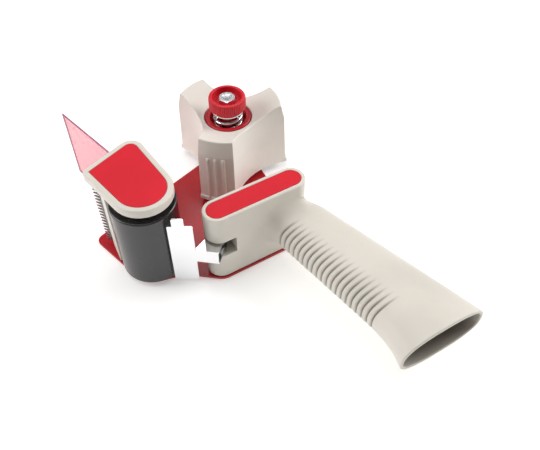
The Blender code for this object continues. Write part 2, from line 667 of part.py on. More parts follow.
def make_blade(nose):
    """Saw-toothed strip on the slanted mount, with its rivets."""
    along, inward = blade_axes()
    root = Vector(BLADE_ROOT)
    outline = [(-BLADE_DEPTH, 0.0)]
    for tooth in range(BLADE_TEETH):
        z = tooth * TOOTH_PITCH
        outline += [(0.0, z), (TOOTH_LENGTH, z + TOOTH_PITCH * 0.3)]
        outline += [(TOOTH_LENGTH, z + TOOTH_PITCH * 0.42), (0.0, z + TOOTH_PITCH * 0.72)]
    outline.append((0.0, BLADE_TEETH * TOOTH_PITCH))
    outline.append((-BLADE_DEPTH, BLADE_TEETH * TOOTH_PITCH))
    rings = []
    for side in (-0.5, 0.5):
        ring = []
        for depth, z in outline:
            point = root + along * depth + inward * BLADE_T * side
            ring.append((point.x, point.y, BLADE_Z + z))
        rings.append(ring)
    blade = solid("cutting_blade", loft(rings), steel("blade_steel"))
    spot = root - along * RIVET_SETBACK
    for i in range(RIVETS):
        z = BLADE_Z + BLADE_TEETH * TOOTH_PITCH * (i + 0.5) / RIVETS
        near = BLADE_T / 2.0 + GAP
        deep = near + MOUNT_T
        hole = [(RIVET_R + GAP, -near), (RIVET_R + GAP, near)]
        cut(blade, f"rivet_hole_{i}", cross_rod(spot, inward, z, hole))
        hole = [(RIVET_R + GAP, 0.0), (RIVET_R + GAP, deep + GAP)]
        cut(nose, f"mount_hole_{i}", cross_rod(spot, inward, z, hole))
        head = -near - RIVET_HEAD_T
        profile = [(RIVET_HEAD_R * 0.7, head), (RIVET_HEAD_R, -near - RIVET_HEAD_T * 0.4)]
        profile.append((RIVET_HEAD_R, -near))
        profile += [(RIVET_R, -near), (RIVET_R, deep)]
        solid(f"blade_rivet_{i + 1}", cross_rod(spot, inward, z, profile), steel(f"rivet_{i + 1}"))


def cross_rod(spot, direction, z, profile):
    """A turned piece lying along a horizontal direction; profile heights run along it."""
    mesh = shaft(0.0, 0.0, profile)
    turn = Vector((*direction, 0.0)).to_track_quat("Z", "Y").to_matrix().to_4x4()
    place = Matrix.Translation((spot.x, spot.y, z))
    bmesh.ops.transform(mesh, matrix=place @ turn, verts=mesh.verts)
    return mesh


def make_flap(hinge, out):
    """The thin flap that smooths the cut tape's end, from its bend line outwards."""
    sheet = prism(strip(hinge, hinge + out * FLAP_LENGTH, FLAP_T), FLAP_Z, FLAP_Z + FLAP_WIDTH)
    solid("tape_flap", sheet, finish("flap_pink", PINK, 0.15, 0.0, 0.5), (*hinge, FLAP_Z))


# ---------------------------------------------------------------- handle

def grip_section(y, shrink=0.0, sides=28, groove=0.0):
    """Flat oval section of the grip across its length, drawn in by a wall or grooved in front."""
    run = (GRIP_JOIN - y) / (GRIP_JOIN - GRIP_END)
    near = max(0.0, 1.0 - (HOUSING_FRONT - y) / JOIN_LENGTH)
    near = min(near, 1.0)
    swell = 1.0 - math.sqrt(1.0 - near * near)
    flare = max(0.0, (FLARE_START - y) / (FLARE_START - GRIP_MOUTH)) ** 2.1
    front = GRIP_FRONT[0] + (GRIP_FRONT[1] - GRIP_FRONT[0]) * run - JOIN_FRONT * swell - FLARE * flare
    back = GRIP_BACK[0] + (GRIP_BACK[1] - GRIP_BACK[0]) * run - JOIN_BACK * near ** 3
    half = GRIP_HALF[0] + (GRIP_HALF[1] - GRIP_HALF[0]) * run + JOIN_RISE * swell
    middle = (front + back) / 2.0
    wide = (back - front) / 2.0 - shrink
    thick = half - shrink
    power = 2.0 / GRIP_SQUARENESS
    ring = []
    for i in range(sides):
        angle = 2.0 * math.pi * (i + 0.5) / sides
        c, s = math.cos(angle), math.sin(angle)
        facing = max(0.0, -c)
        depth = groove * min(1.0, facing * 1.6) ** 0.7
        x = math.copysign(abs(c) ** power, c) * (wide - depth)
        z = math.copysign(abs(s) ** power, s) * (thick - depth)
        ring.append((middle + x, y, GRIP_Z + z))
    return ring


def grip_rings():
    """Sections from the housing to the mouth, with a pair of them for each finger groove."""
    rings = [grip_section(GRIP_START)]
    for share in (0.0, 0.12, 0.3, 0.55, 0.8):
        rings.append(grip_section(HOUSING_FRONT - JOIN_LENGTH * share))
    for i in range(GROOVES):
        valley = GROOVE_START - 0.5 * GROOVE_PITCH - i * GROOVE_PITCH
        rings.append(grip_section(valley, groove=GROOVE_DEPTH))
        rings.append(grip_section(valley - 0.5 * GROOVE_PITCH))
    last = GROOVE_START - GROOVES * GROOVE_PITCH
    for share in (0.4, 0.8):
        rings.append(grip_section(last + (GRIP_MOUTH + LIP - last) * share))
    rings.append(grip_section(GRIP_MOUTH + LIP))
    rings.append(grip_section(GRIP_MOUTH + LIP * 0.3, shrink=LIP * 0.3))
    rings.append(grip_section(GRIP_MOUTH, shrink=LIP * 0.75))
    return rings


def make_handle():
    circles = [(*HOUSING_NOSE, HOUSING_R), (*HOUSING_BACK, HOUSING_R)]
    shape = prism(belt(circles, 14), SEAT, HOUSING_TOP, HOUSING_EDGE, inset_belt(circles, HOUSING_EDGE, 14))
    handle = solid("handle", shape, plastic("handle_beige"))
    join(handle, "grip", loft(grip_rings()))

    middle = HOUSING_NOSE[1]
    hollow_r = HOUSING_R - HOUSING_WALL
    solid_nose = SLOT_END + HOUSING_WALL + hollow_r
    hollow = belt([(solid_nose, middle, hollow_r), (*HOUSING_BACK, hollow_r)], 8)
    cut(handle, "housing_hollow", prism(hollow, 0.0, HOUSING_TOP - HOUSING_ROOF))
    for i, x in enumerate(HANDLE_SCREWS):
        join(handle, f"boss_{i}", rod(x, middle, BOSS_R, SEAT, HOUSING_TOP - HOUSING_ROOF / 2.0, 20))
    for name, x, y in screw_places()[:3]:
        cut(handle, name + "_pilot", rod(x, y, SCREW_R + GAP, 0.0, SCREW_LENGTH + GAP))

    inside = []
    for share in (0.0, 0.35, 0.7, 0.85, 0.95, 1.0):
        y = GRIP_HOLLOW + (GRIP_MOUTH - GRIP_HOLLOW) * share
        inside.append(grip_section(y, shrink=GRIP_WALL))
    inside.append(grip_section(GRIP_MOUTH - GRIP_WALL, shrink=GRIP_WALL * 0.8))
    cut(handle, "grip_hollow", loft(inside))

    recess = inset_belt(circles, HOUSING_BORDER, 14)
    floor = HOUSING_TOP - INLAY_T - GAP
    cut(handle, "handle_recess", prism(recess, floor, HOUSING_TOP + GAP))
    low = (HOUSING_NOSE[0] - HOUSING_R - GAP, HOUSING_FRONT - 2.0 * MM, SLOT_Z)
    cut(handle, "slot", box(low, (SLOT_END, SLOT_BACK, SLOT_TOP)))
    cut(handle, "pin_hole", rod(*HOUSING_NOSE, PIN_R + GAP, PIN_Z - GAP, PIN_TOP + GAP))

    inlay = inset_belt(circles, HOUSING_BORDER + GAP, 14)
    solid("handle_inlay", prism(inlay, floor + GAP, HOUSING_TOP), plastic("handle_inlay_red", RED))


# ---------------------------------------------------------------- tape retainer

def make_retainer():
    facing = Vector((math.cos(RETAINER_ANGLE), math.sin(RETAINER_ANGLE)))
    edge = Vector(ROLLER_AXIS) + facing * (ROLLER_R + RETAINER_CLEAR)
    bend = Vector(RETAINER_BEND)
    elbow = Vector(RETAINER_ELBOW)
    along = (bend - edge).normalized()
    pin = Vector(HOUSING_NOSE)
    blade_top = RETAINER_Z + RETAINER_H
    arm_z = (SLOT_Z + SLOT_TOP) / 2.0 - ARM_H / 2.0 - 2.0 * GAP
    arm_top = arm_z + ARM_H
    plate = prism(strip(edge, bend, RETAINER_T), RETAINER_Z, blade_top)
    retainer = solid("retainer", plate, steel("retainer_chrome"), (*pin, arm_z))
    tab = strip(edge + along * TAB_START, edge + along * (TAB_START + TAB_WIDTH), RETAINER_T)
    join(retainer, "tab", prism(tab, blade_top - TAB_H, blade_top + TAB_H))
    join(retainer, "arm", prism(strip(bend - along * RETAINER_T, elbow, RETAINER_T), arm_z, arm_top))
    corner = RETAINER_T / 2.0 - 0.02 * MM
    flange = [(*bend, corner), (*pin, EAR_R), (*elbow, corner)]
    for name, z in (("lower_flange", arm_z), ("upper_flange", arm_top - RETAINER_T)):
        low = z + (0.02 * MM if name == "lower_flange" else -0.02 * MM)
        join(retainer, name, prism(belt(flange, 8), low, low + RETAINER_T))
    cut(retainer, "ear_hole", rod(*pin, PIN_R + GAP, arm_z - GAP, arm_top + GAP))

    solid("retainer_pin", rod(*pin, PIN_R, PIN_Z, PIN_TOP), steel("pin_steel"))
    low = arm_z + RETAINER_T + 2.0 * GAP
    high = arm_top - RETAINER_T - 2.0 * GAP
    wire = helix(*pin, TORSION_R, TORSION_WIRE_R, low, high, TORSION_TURNS, 5, 12)
    solid("retainer_spring", wire, steel("torsion_steel"), (*pin, low))


def main():
    for item in list(bpy.data.objects):
        bpy.data.objects.remove(item, do_unlink=True)
    make_plate()
    make_hub()
    make_brake()
    axle_top = make_roller()
    make_nose(axle_top)
    make_handle()
    make_retainer()


main()
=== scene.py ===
"""The finished look of a pistol-grip packing tape dispenser, lying on its steel side plate."""

import json
import math

import bmesh
import bpy
from mathutils import Matrix, Vector


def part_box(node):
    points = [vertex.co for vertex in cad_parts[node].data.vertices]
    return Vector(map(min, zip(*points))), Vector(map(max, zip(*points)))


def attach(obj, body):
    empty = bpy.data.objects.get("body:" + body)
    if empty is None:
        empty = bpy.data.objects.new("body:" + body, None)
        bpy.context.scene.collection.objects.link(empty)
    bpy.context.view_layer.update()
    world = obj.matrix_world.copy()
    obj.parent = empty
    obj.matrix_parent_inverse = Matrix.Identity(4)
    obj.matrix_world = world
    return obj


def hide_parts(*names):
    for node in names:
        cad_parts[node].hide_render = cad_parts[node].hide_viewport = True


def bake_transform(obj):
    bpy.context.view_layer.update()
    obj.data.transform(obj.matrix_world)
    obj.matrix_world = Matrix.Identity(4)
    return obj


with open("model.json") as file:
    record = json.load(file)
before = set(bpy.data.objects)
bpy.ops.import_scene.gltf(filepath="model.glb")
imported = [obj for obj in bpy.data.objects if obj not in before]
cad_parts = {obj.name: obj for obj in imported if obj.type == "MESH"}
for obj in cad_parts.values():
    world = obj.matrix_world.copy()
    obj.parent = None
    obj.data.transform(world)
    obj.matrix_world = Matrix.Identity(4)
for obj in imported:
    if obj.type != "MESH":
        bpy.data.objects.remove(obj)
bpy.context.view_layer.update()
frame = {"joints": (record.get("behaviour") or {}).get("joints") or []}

MM = 0.001
GAP = 0.3 * MM


# ---- places read from the frame

def middle(node):
    """Plan position of a node's middle."""
    low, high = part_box(node)
    return ((low[0] + high[0]) / 2.0, (low[1] + high[1]) / 2.0)


def reach(node):
    """Half of a node's width along X."""
    low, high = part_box(node)
    return (high[0] - low[0]) / 2.0


def base(node):
    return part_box(node)[0][2]


def top(node):
    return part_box(node)[1][2]


def joint_place(name):
    return next(joint["pos_m"] for joint in frame["joints"] if joint["name"] == name)


PLATE_T = top("side_plate")
SEAT = PLATE_T + GAP
ROLLER = joint_place("roller_spin")[:2]
ROLLER_R = reach("roller_sleeve")
NOSE_PIVOT = joint_place("retainer_swing")[:2]
FLAP_HINGE = joint_place("flap_flex")[:2]
CAP_TOP = top("nose_housing")
HOUSING_TOP = top("handle")
KNOB_BASE = base("brake_knob")
KNOB_TOP = top("brake_knob")
KNOB_R = reach("brake_knob")
CUP_R = reach("brake_cup")
CUP_BASE = base("brake_cup")
CUP_TOP = top("brake_cup")
HUB_BASE = base("tape_hub")


# ---- outlines

def belt(circles, steps=16):
    """Outline of a belt run clockwise round circles (x, y, radius); a radius of 0 is a corner."""
    normals = []
    for i, (x, y, radius) in enumerate(circles):
        nx, ny, next_radius = circles[(i + 1) % len(circles)]
        along = Vector((nx - x, ny - y))
        share = (radius - next_radius) / along.length
        along.normalize()
        across = Vector((-along.y, along.x))
        normals.append(along * share + across * math.sqrt(1.0 - share * share))
    outline = []
    for i, (x, y, radius) in enumerate(circles):
        start = math.atan2(normals[i - 1].y, normals[i - 1].x)
        end = math.atan2(normals[i].y, normals[i].x)
        if radius == 0.0:
            outline.append((x, y))
            continue
        while end > start:
            end -= 2.0 * math.pi
        for k in range(steps + 1):
            angle = start + (end - start) * k / steps
            outline.append((x + radius * math.cos(angle), y + radius * math.sin(angle)))
    return outline


def inset_belt(circles, amount, steps=16):
    """The belt drawn in by an amount; a corner tighter than that moves in along its own bisector."""
    tightest = 0.1 * MM
    drawn = []
    for i, (x, y, radius) in enumerate(circles):
        here = Vector((x, y))
        short = amount + tightest - radius
        if short > 0.0:
            before = (Vector(circles[i - 1][:2]) - here).normalized()
            after = (Vector(circles[(i + 1) % len(circles)][:2]) - here).normalized()
            here += (before + after).normalized() * short / math.sin(before.angle(after) / 2.0)
        drawn.append((here.x, here.y, max(tightest, radius - amount)))
    return belt(drawn, steps)


def eased(corners, steps=4):
    """Closed outline through (x, y, radius) corners, each rounded by its own radius."""
    points = []
    for i, (x, y, radius) in enumerate(corners):
        here = Vector((x, y))
        if radius == 0.0:
            points.append((x, y))
            continue
        before = (Vector(corners[i - 1][:2]) - here).normalized()
        after = (Vector(corners[(i + 1) % len(corners)][:2]) - here).normalized()
        half = before.angle(after) / 2.0
        centre = here + (before + after).normalized() * radius / math.sin(half)
        start = here + before * radius / math.tan(half) - centre
        end = here + after * radius / math.tan(half) - centre
        sweep = start.angle_signed(end)
        for k in range(steps + 1):
            turned_by = -sweep * k / steps
            c, s = math.cos(turned_by), math.sin(turned_by)
            points.append((centre.x + c * start.x - s * start.y, centre.y + s * start.x + c * start.y))
    return points


def level(outline, z):
    """A plan outline raised to a height."""
    return [Vector((x, y, z)) for x, y in outline]


def heading(angle, length=1.0):
    """Plan vector of a length at an angle from +X."""
    return Vector((length * math.cos(angle), length * math.sin(angle)))


def strip(start, end, thickness):
    """Plan outline of a flat strip between two points, centred on the line between them."""
    start, end = Vector(start), Vector(end)
    along = (end - start).normalized()
    side = Vector((-along.y, along.x)) * thickness / 2.0
    return [tuple(start - side), tuple(end - side), tuple(end + side), tuple(start + side)]


def upright(start, along):
    """Function that gives the place at a distance along a plan line and at a height."""
    return lambda distance, z: Vector((*(start + along * distance), z))


def edge_round(radius, steps=4):
    """Pairs of (inset, drop) that round an edge over, from its side to its top."""
    pairs = []
    for k in range(steps + 1):
        angle = math.pi / 2.0 * k / steps
        pairs.append((radius * (1.0 - math.cos(angle)), radius * (1.0 - math.sin(angle))))
    return pairs


# ---- modelling by operators

def select_only(piece):
    bpy.ops.object.select_all(action="DESELECT")
    piece.select_set(True)
    bpy.context.view_layer.objects.active = piece


def loop(name, points):
    """A closed ring of edges through the points, left in edit mode with all of it selected."""
    bpy.ops.object.select_all(action="DESELECT")
    bpy.ops.mesh.primitive_circle_add(vertices=len(points), radius=1.0)
    ring = bpy.context.object
    ring.name = name
    ring.data.name = name
    for vertex, point in zip(ring.data.vertices, points):
        vertex.co = point
    bpy.ops.object.mode_set(mode="EDIT")
    bpy.ops.mesh.select_all(action="SELECT")
    return ring


def close_up(piece):
    """Merge doubles, fill what is open, point the faces outwards and leave edit mode."""
    bpy.ops.mesh.select_all(action="SELECT")
    bpy.ops.mesh.remove_doubles(threshold=1e-7)
    bpy.ops.mesh.fill_holes(sides=0)
    bpy.ops.mesh.select_all(action="SELECT")
    bpy.ops.mesh.normals_make_consistent(inside=False)
    bpy.ops.object.mode_set(mode="OBJECT")
    return piece


def grow(name, sections):
    """Skin a run of sections with equal point counts, by extruding the first one along them."""
    piece = loop(name, sections[0])
    mesh = bmesh.from_edit_mesh(piece.data)
    order = mesh.verts.layers.int.new("order")
    for i, vertex in enumerate(mesh.verts):
        vertex[order] = i
    for section in sections[1:]:
        bpy.ops.mesh.extrude_region_move()
        mesh = bmesh.from_edit_mesh(piece.data)
        order = mesh.verts.layers.int["order"]
        mesh.verts.ensure_lookup_table()
        for vertex in mesh.verts[-len(section):]:
            vertex.co = section[vertex[order]]
    mesh.verts.layers.int.remove(order)
    return close_up(piece)


def extrude(name, points, move):
    """A closed solid: the outline through the points, extruded by a move."""
    piece = loop(name, points)
    bpy.ops.mesh.edge_face_add()
    bpy.ops.mesh.extrude_region_move(TRANSFORM_OT_translate={"value": move})
    return close_up(piece)


def pillar(name, outline, low, high):
    return extrude(name, level(outline, low), (0.0, 0.0, high - low))


def slab(name, outline, thickness):
    """Extrude an upright outline of 3-D points, half of its thickness to each side."""
    side = (outline[1] - outline[0]).cross(outline[2] - outline[1]).normalized() * thickness
    return extrude(name, [point - side / 2.0 for point in outline], side)


def spin(name, place, profile, steps=96, axis=None):
    """Spin a closed (radius, height) profile round an axis through a place."""
    x, y, z = place
    piece = loop(name, [Vector((x + r, y, z + h)) for r, h in profile])
    bpy.ops.mesh.spin(steps=steps, angle=2.0 * math.pi, center=place, axis=(0.0, 0.0, 1.0))
    bpy.ops.mesh.select_all(action="SELECT")
    bpy.ops.mesh.remove_doubles(threshold=1e-6)
    bpy.ops.mesh.delete_loose()
    bpy.ops.mesh.select_all(action="SELECT")
    bpy.ops.mesh.normals_make_consistent(inside=False)
    bpy.ops.object.mode_set(mode="OBJECT")
    if axis is not None:
        lay(piece, place, axis)
    return piece


def lay(piece, place, direction):
    """Turn a piece about a place so that its +Z points along a direction, within its mesh."""
    turn = Vector(direction).to_track_quat("Z", "Y").to_matrix().to_4x4()
    piece.data.transform(Matrix.Translation(place) @ turn @ Matrix.Translation(-Vector(place)))


def coil(name, place, radius, wire, low, high, turns, steps=40):
    """A coil spring: a small circle of wire screwed up round an axis, with its ends filled."""
    around = [2.0 * math.pi * k / 12 for k in range(12)]
    x, y = place
    middle_z = low + wire
    ring = [Vector((radius + wire * math.cos(a), 0.0, middle_z + wire * math.sin(a))) for a in around]
    piece = loop(name, ring)
    bpy.ops.object.mode_set(mode="OBJECT")
    screw = piece.modifiers.new("wind", "SCREW")
    screw.angle = 2.0 * math.pi * turns
    screw.screw_offset = high - low - 2.0 * wire
    screw.steps = round(steps * turns)
    screw.render_steps = screw.steps
    screw.use_merge_vertices = False
    apply(piece, screw)
    piece.data.transform(Matrix.Translation((x, y, 0.0)))
    bpy.ops.object.mode_set(mode="EDIT")
    return close_up(piece)


def apply(piece, modifier):
    select_only(piece)
    bpy.ops.object.modifier_apply(modifier=modifier.name)


def weigh_normals(piece):
    """Let the large faces keep flat shading while the rounded edges stay smooth."""
    weighted = piece.modifiers.new("weighted", "WEIGHTED_NORMAL")
    weighted.keep_sharp = True
    apply(piece, weighted)


def bevel(piece, width, segments=3, angle=40.0):
    edge = piece.modifiers.new("edge", "BEVEL")
    edge.width = width
    edge.segments = segments
    edge.limit_method = "ANGLE"
    edge.angle_limit = math.radians(angle)
    edge.use_clamp_overlap = True
    apply(piece, edge)


def combine(piece, tool, operation):
    """Join a tool to a piece or cut it out, and delete the tool."""
    knife = piece.modifiers.new("combine", "BOOLEAN")
    knife.operation = operation
    knife.solver = "EXACT"
    knife.object = tool
    apply(piece, knife)
    bpy.data.objects.remove(tool, do_unlink=True)


def cut(piece, tool):
    combine(piece, tool, "DIFFERENCE")


def join(piece, tool):
    combine(piece, tool, "UNION")


def rod(name, x, y, radius, low, high, edge=0.0, steps=48):
    """A round rod with its end edges bevelled."""
    length = high - low
    piece = spin(name, (x, y, low), [(0.0, 0.0), (radius, 0.0), (radius, length), (0.0, length)], steps)
    if edge:
        bevel(piece, edge)
    return piece


def turned_ring(name, node, place, bore, bore_edge, rim_edge, steps, round_steps=4):
    """A turned ring that fills a node's height and width."""
    rim, high = reach(node), top(node) - base(node)
    corners = [(bore, 0.0, bore_edge), (rim, 0.0, rim_edge), (rim, high, rim_edge), (bore, high, bore_edge)]
    return spin(name, (*place, base(node)), eased(corners, round_steps), steps)


def done(piece, material, body, node, crease=32.0):
    """Finish a piece: shading, material, the body it rides on, if any, and the node it stands for."""
    select_only(piece)
    bpy.ops.object.shade_smooth_by_angle(angle=math.radians(crease))
    weigh_normals(piece)
    piece.data.materials.clear()
    piece.data.materials.append(material)
    if body:
        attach(piece, body)
    if node:
        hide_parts(node)


# ---- materials

class Value:
    """A shader value. Arithmetic on it adds Math nodes, and make() adds any other node."""

    def __init__(self, tree, socket=None):
        self.tree = tree
        self.socket = socket

    def make(self, kind, settings=None, inputs=None, output=0):
        node = self.tree.nodes.new("ShaderNode" + kind)
        for key, value in (settings or {}).items():
            setattr(node, key, value)
        for key, value in (inputs or {}).items():
            if isinstance(value, Value):
                self.tree.links.new(value.socket, node.inputs[key])
            else:
                node.inputs[key].default_value = value
        return Value(self.tree, node.outputs[output])

    def math(self, operation, first, second):
        return self.make("Math", {"operation": operation}, {0: first, 1: second})

    def __add__(self, other):
        return self.math("ADD", self, other)

    def __mul__(self, other):
        return self.math("MULTIPLY", self, other)

    def __rsub__(self, other):
        return self.math("SUBTRACT", other, self)

    def noise(self, scale, detail=2.0, roughness=0.5, coords=None):
        """Noise whose features are about 1/scale metres across."""
        coords = coords or self.make("TexCoord", output="Object")
        sockets = {"Vector": coords, "Scale": scale, "Detail": detail, "Roughness": roughness}
        return self.make("TexNoise", {"noise_dimensions": "3D"}, sockets, "Fac")

    def ramp(self, low, high):
        """0 below low, 1 above high, smooth between."""
        sockets = {"Value": self, "From Min": low, "From Max": high}
        return self.make("MapRange", {"interpolation_type": "SMOOTHSTEP"}, sockets)

    def blend(self, first, second):
        """Mix two colours by this value."""
        sockets = {"Factor": self, "A": first, "B": second}
        return self.make("Mix", {"data_type": "RGBA"}, sockets, "Result")


def rgba(colour, gain=1.0):
    return (*(min(1.0, channel * gain) for channel in colour), 1.0)


def material(name):
    """A new material, its node tree wrapped for arithmetic, and its Principled shader."""
    made = bpy.data.materials.new(name)
    made.use_nodes = True
    shader = made.node_tree.nodes["Principled BSDF"]
    return made, Value(made.node_tree), shader


def feed(value, shader, socket):
    value.tree.links.new(value.socket, shader.inputs[socket])


def settle(node, **inputs):
    """Give inputs of a node fixed values; an underscore stands for the space in a name."""
    for name, value in inputs.items():
        node.inputs[name.replace("_", " ")].default_value = value


def relief(tree, shader, height, strength, distance):
    sockets = {"Height": height, "Strength": strength, "Distance": distance}
    feed(tree.make("Bump", None, sockets, "Normal"), shader, "Normal")


def painted_edge_highlight(tree):
    """Mask of the sharp edges, where a lighter colour is painted as a highlight."""
    rounded = tree.make("Bevel", {"samples": 4}, {"Radius": 0.7 * MM}, "Normal")
    straight = tree.make("NewGeometry", output="Normal")
    alike = tree.make("VectorMath", {"operation": "DOT_PRODUCT"}, {0: rounded, 1: straight}, "Value")
    return (1.0 - alike).ramp(0.01, 0.14)


def moulded(name, colour, rough, grain=0.5, edge_light=0.35, dirt=0.12, shine=0.45, shaded=False):
    """Moulded plastic: spark-eroded grain, slow colour drift, painted edge highlights, handling marks and,
    if shaded, painted shade.
    """
    made, tree, shader = material(name)
    fine = tree.noise(2600.0, 3.0, 0.6)
    drift = tree.noise(28.0, 3.0, 0.5)
    marks = tree.noise(170.0, 6.0, 0.7).ramp(0.57, 0.72)
    body = drift.ramp(0.35, 0.65).blend(rgba(colour, 0.955), rgba(colour, 1.02))
    body = (marks * dirt).blend(body, rgba(colour, 0.72))
    # Painted highlight: the sharp edges are blended towards a lighter colour.
    body = (painted_edge_highlight(tree) * edge_light).blend(body, rgba([0.6 * channel + 0.4 for channel in colour]))
    # Painted shade: where the shade attribute is set, the colour turns dark and warm.
    if shaded:
        shade = tree.make("Attribute", {"attribute_name": "shade"}, output="Fac")
        body = shade.blend(body, rgba((colour[0], colour[1] * 0.93, colour[2] * 0.82), 0.24))
    feed(body, shader, "Base Color")
    feed(fine * 0.14 + drift * 0.10 + marks * 0.08 + (rough - 0.12), shader, "Roughness")
    relief(tree, shader, fine, grain, 0.00006)
    settle(shader, Specular_IOR_Level=shine)
    return made


def enamel(name, colour):
    """Stoved enamel on sheet steel: orange peel under a clear gloss, with a few fine scratches."""
    made, tree, shader = material(name)
    peel = tree.noise(620.0, 1.0, 0.4)
    drift = tree.noise(24.0, 2.0)
    scratch = tree.noise(90.0, 8.0, 0.75).ramp(0.62, 0.7)
    body = drift.ramp(0.3, 0.7).blend(rgba(colour, 0.9), rgba(colour, 1.06))
    # Painted highlight: the enamel's sharp edges are blended towards a lighter pink.
    body = (painted_edge_highlight(tree) * 0.3).blend(body, (0.62, 0.30, 0.27, 1.0))
    feed(body, shader, "Base Color")
    feed(scratch * 0.16 + drift * 0.08 + 0.2, shader, "Roughness")
    relief(tree, shader, peel, 0.10, 0.0004)
    settle(shader, Specular_IOR_Level=0.35, Coat_Weight=0.2, Coat_Roughness=0.12)
    return made


def metal(name, colour, rough, streak=(1.0, 1.0, 9.0), depth=0.1):
    """Plated steel: a faint drawn grain along one direction, cloudy roughness and dull specks."""
    made, tree, shader = material(name)
    coords = tree.make("TexCoord", output="Object")
    drawn = tree.make("Mapping", None, {"Vector": coords, "Scale": streak})
    grain = tree.noise(900.0, 4.0, 0.65, drawn)
    cloud = tree.noise(60.0, 3.0)
    speck = tree.noise(420.0, 5.0, 0.7).ramp(0.64, 0.74)
    body = cloud.ramp(0.3, 0.7).blend(rgba(colour, 0.93), rgba(colour))
    body = (speck * 0.3).blend(body, rgba(colour, 0.6))
    feed(body, shader, "Base Color")
    feed(grain * 0.1 + cloud * 0.08 + speck * 0.12 + (rough - 0.09), shader, "Roughness")
    relief(tree, shader, grain, depth, 0.00008)
    settle(shader, Metallic=1.0)
    return made


def rubber(name):
    """Smooth black rubber with a bloom of dust and faint rings from the tape."""
    made, tree, shader = material(name)
    coords = tree.make("TexCoord", output="Object")
    wrapped = tree.make("Mapping", None, {"Vector": coords, "Scale": (0.04, 0.04, 1.0)})
    rings = tree.noise(240.0, 3.0, 0.6, wrapped)
    fine = tree.noise(1900.0, 3.0, 0.6)
    dust = tree.noise(120.0, 6.0, 0.7).ramp(0.55, 0.75)
    body = (dust * 0.45).blend((0.012, 0.010, 0.011, 1.0), (0.040, 0.036, 0.037, 1.0))
    feed(body, shader, "Base Color")
    feed(rings * 0.14 + dust * 0.16 + fine * 0.06 + 0.1, shader, "Roughness")
    settle(shader, Specular_IOR_Level=0.7)
    relief(tree, shader, rings * 0.5 + fine * 0.5, 0.16, 0.0001)
    return made


def film(name, colour, alpha):
    """Translucent coloured film, a little cloudy, with fine scuffs."""
    made, tree, shader = material(name)
    cloud = tree.noise(45.0, 3.0)
    scuff = tree.noise(260.0, 6.0, 0.7).ramp(0.58, 0.72)
    body = cloud.ramp(0.35, 0.65).blend(rgba(colour, 0.94), rgba(colour, 1.05))
    feed(body, shader, "Base Color")
    feed(scuff * 0.2 + cloud * 0.1 + 0.1, shader, "Roughness")
    feed(scuff * 0.08 + cloud * 0.06 + alpha, shader, "Alpha")
    relief(tree, shader, cloud, 0.1, 0.0006)
    return made


BEIGE = (0.728, 0.688, 0.622)
# Painted light: the hub gets a lighter copy of the beige, standing in for the brighter light on its sides.
HUB_BEIGE_PAINTED_LIGHT = (0.820, 0.785, 0.722)
beige = moulded("beige_plastic", BEIGE, 0.40)
hub_beige_painted_light = moulded("hub_plastic", HUB_BEIGE_PAINTED_LIGHT, 0.40)
grip_beige = moulded("grip_plastic", BEIGE, 0.42, 0.7, shaded=True)
inlay_red = moulded("inlay_red", (0.70, 0.012, 0.028), 0.46, 0.35, 0.1, 0.08, shine=0.3)
knob_red = moulded("knob_red", (0.70, 0.012, 0.030), 0.32, 0.25, 0.12, 0.06)
cup_red = moulded("cup_red", (0.55, 0.010, 0.022), 0.30, 0.25, 0.2, 0.1)
plate_red = enamel("plate_enamel", (0.46, 0.010, 0.018))
zinc = metal("zinc_plate", (0.80, 0.81, 0.83), 0.22)
bright_zinc = metal("bright_zinc", (0.86, 0.88, 0.92), 0.26, depth=0.02)
chrome = metal("bright_nickel", (0.88, 0.88, 0.89), 0.16, depth=0.05)
ground_steel = metal("ground_steel", (0.20, 0.19, 0.19), 0.34, (9.0, 9.0, 1.0), 0.2)
spring_steel = metal("spring_steel", (0.82, 0.82, 0.84), 0.16)
black_rubber = rubber("roller_rubber")
black_nylon = moulded("black_nylon", (0.022, 0.021, 0.022), 0.42, 0.5, 0.05, 0.1)
pink_film = film("pink_film", (0.90, 0.17, 0.25), 0.48)
pink_edge = film("pink_film_edge", (0.30, 0.012, 0.10), 0.88)


# ---- side plate and screws

PLATE_HUB_R = 17.6 * MM
HOUSING_R = 8.77 * MM
HOUSING_BACK = (0.9 * MM, NOSE_PIVOT[1])
PLATE_BORDER = HOUSING_R + 0.9 * MM
PLATE_CIRCLES = [
    (0.0, 0.0, PLATE_HUB_R),
    (*HOUSING_BACK, PLATE_BORDER),
    (*NOSE_PIVOT, PLATE_BORDER),
    (-70.0 * MM, -68.3 * MM, 0.0),
    (*ROLLER, 15.8 * MM),
    (-101.1 * MM, -17.5 * MM, 4.98 * MM),
]
HANDLE_SCREWS = ("handle_screw_1", "handle_screw_2", "handle_screw_3")
NOSE_SCREWS = ("nose_screw_1", "nose_screw_2")
SCREW_HEAD_R = 3.2 * MM
SCREW_RIM = 0.1 * MM
SCREW_R = 1.9 * MM
SCREW_ROOT_R = 0.78 * SCREW_R
SCREW_PITCH = 1.4 * MM
RECESS_WIDTH = 0.7 * MM
RECESS_DEPTH = 0.9 * MM


def make_plate():
    plate = pillar("plate", belt(PLATE_CIRCLES), 0.0, PLATE_T)
    rim = SCREW_HEAD_R + 2.0 * GAP
    hole = SCREW_R + GAP
    profile = [(0.0, -rim), (2.0 * rim, -rim), (hole, rim - hole), (hole, rim), (0.0, rim)]
    for name in HANDLE_SCREWS + NOSE_SCREWS:
        cut(plate, spin(name + "_sink", (*middle(name), 0.0), profile, 48))
    bevel(plate, 0.28 * MM, 2)
    done(plate, plate_red, "frame", "side_plate")


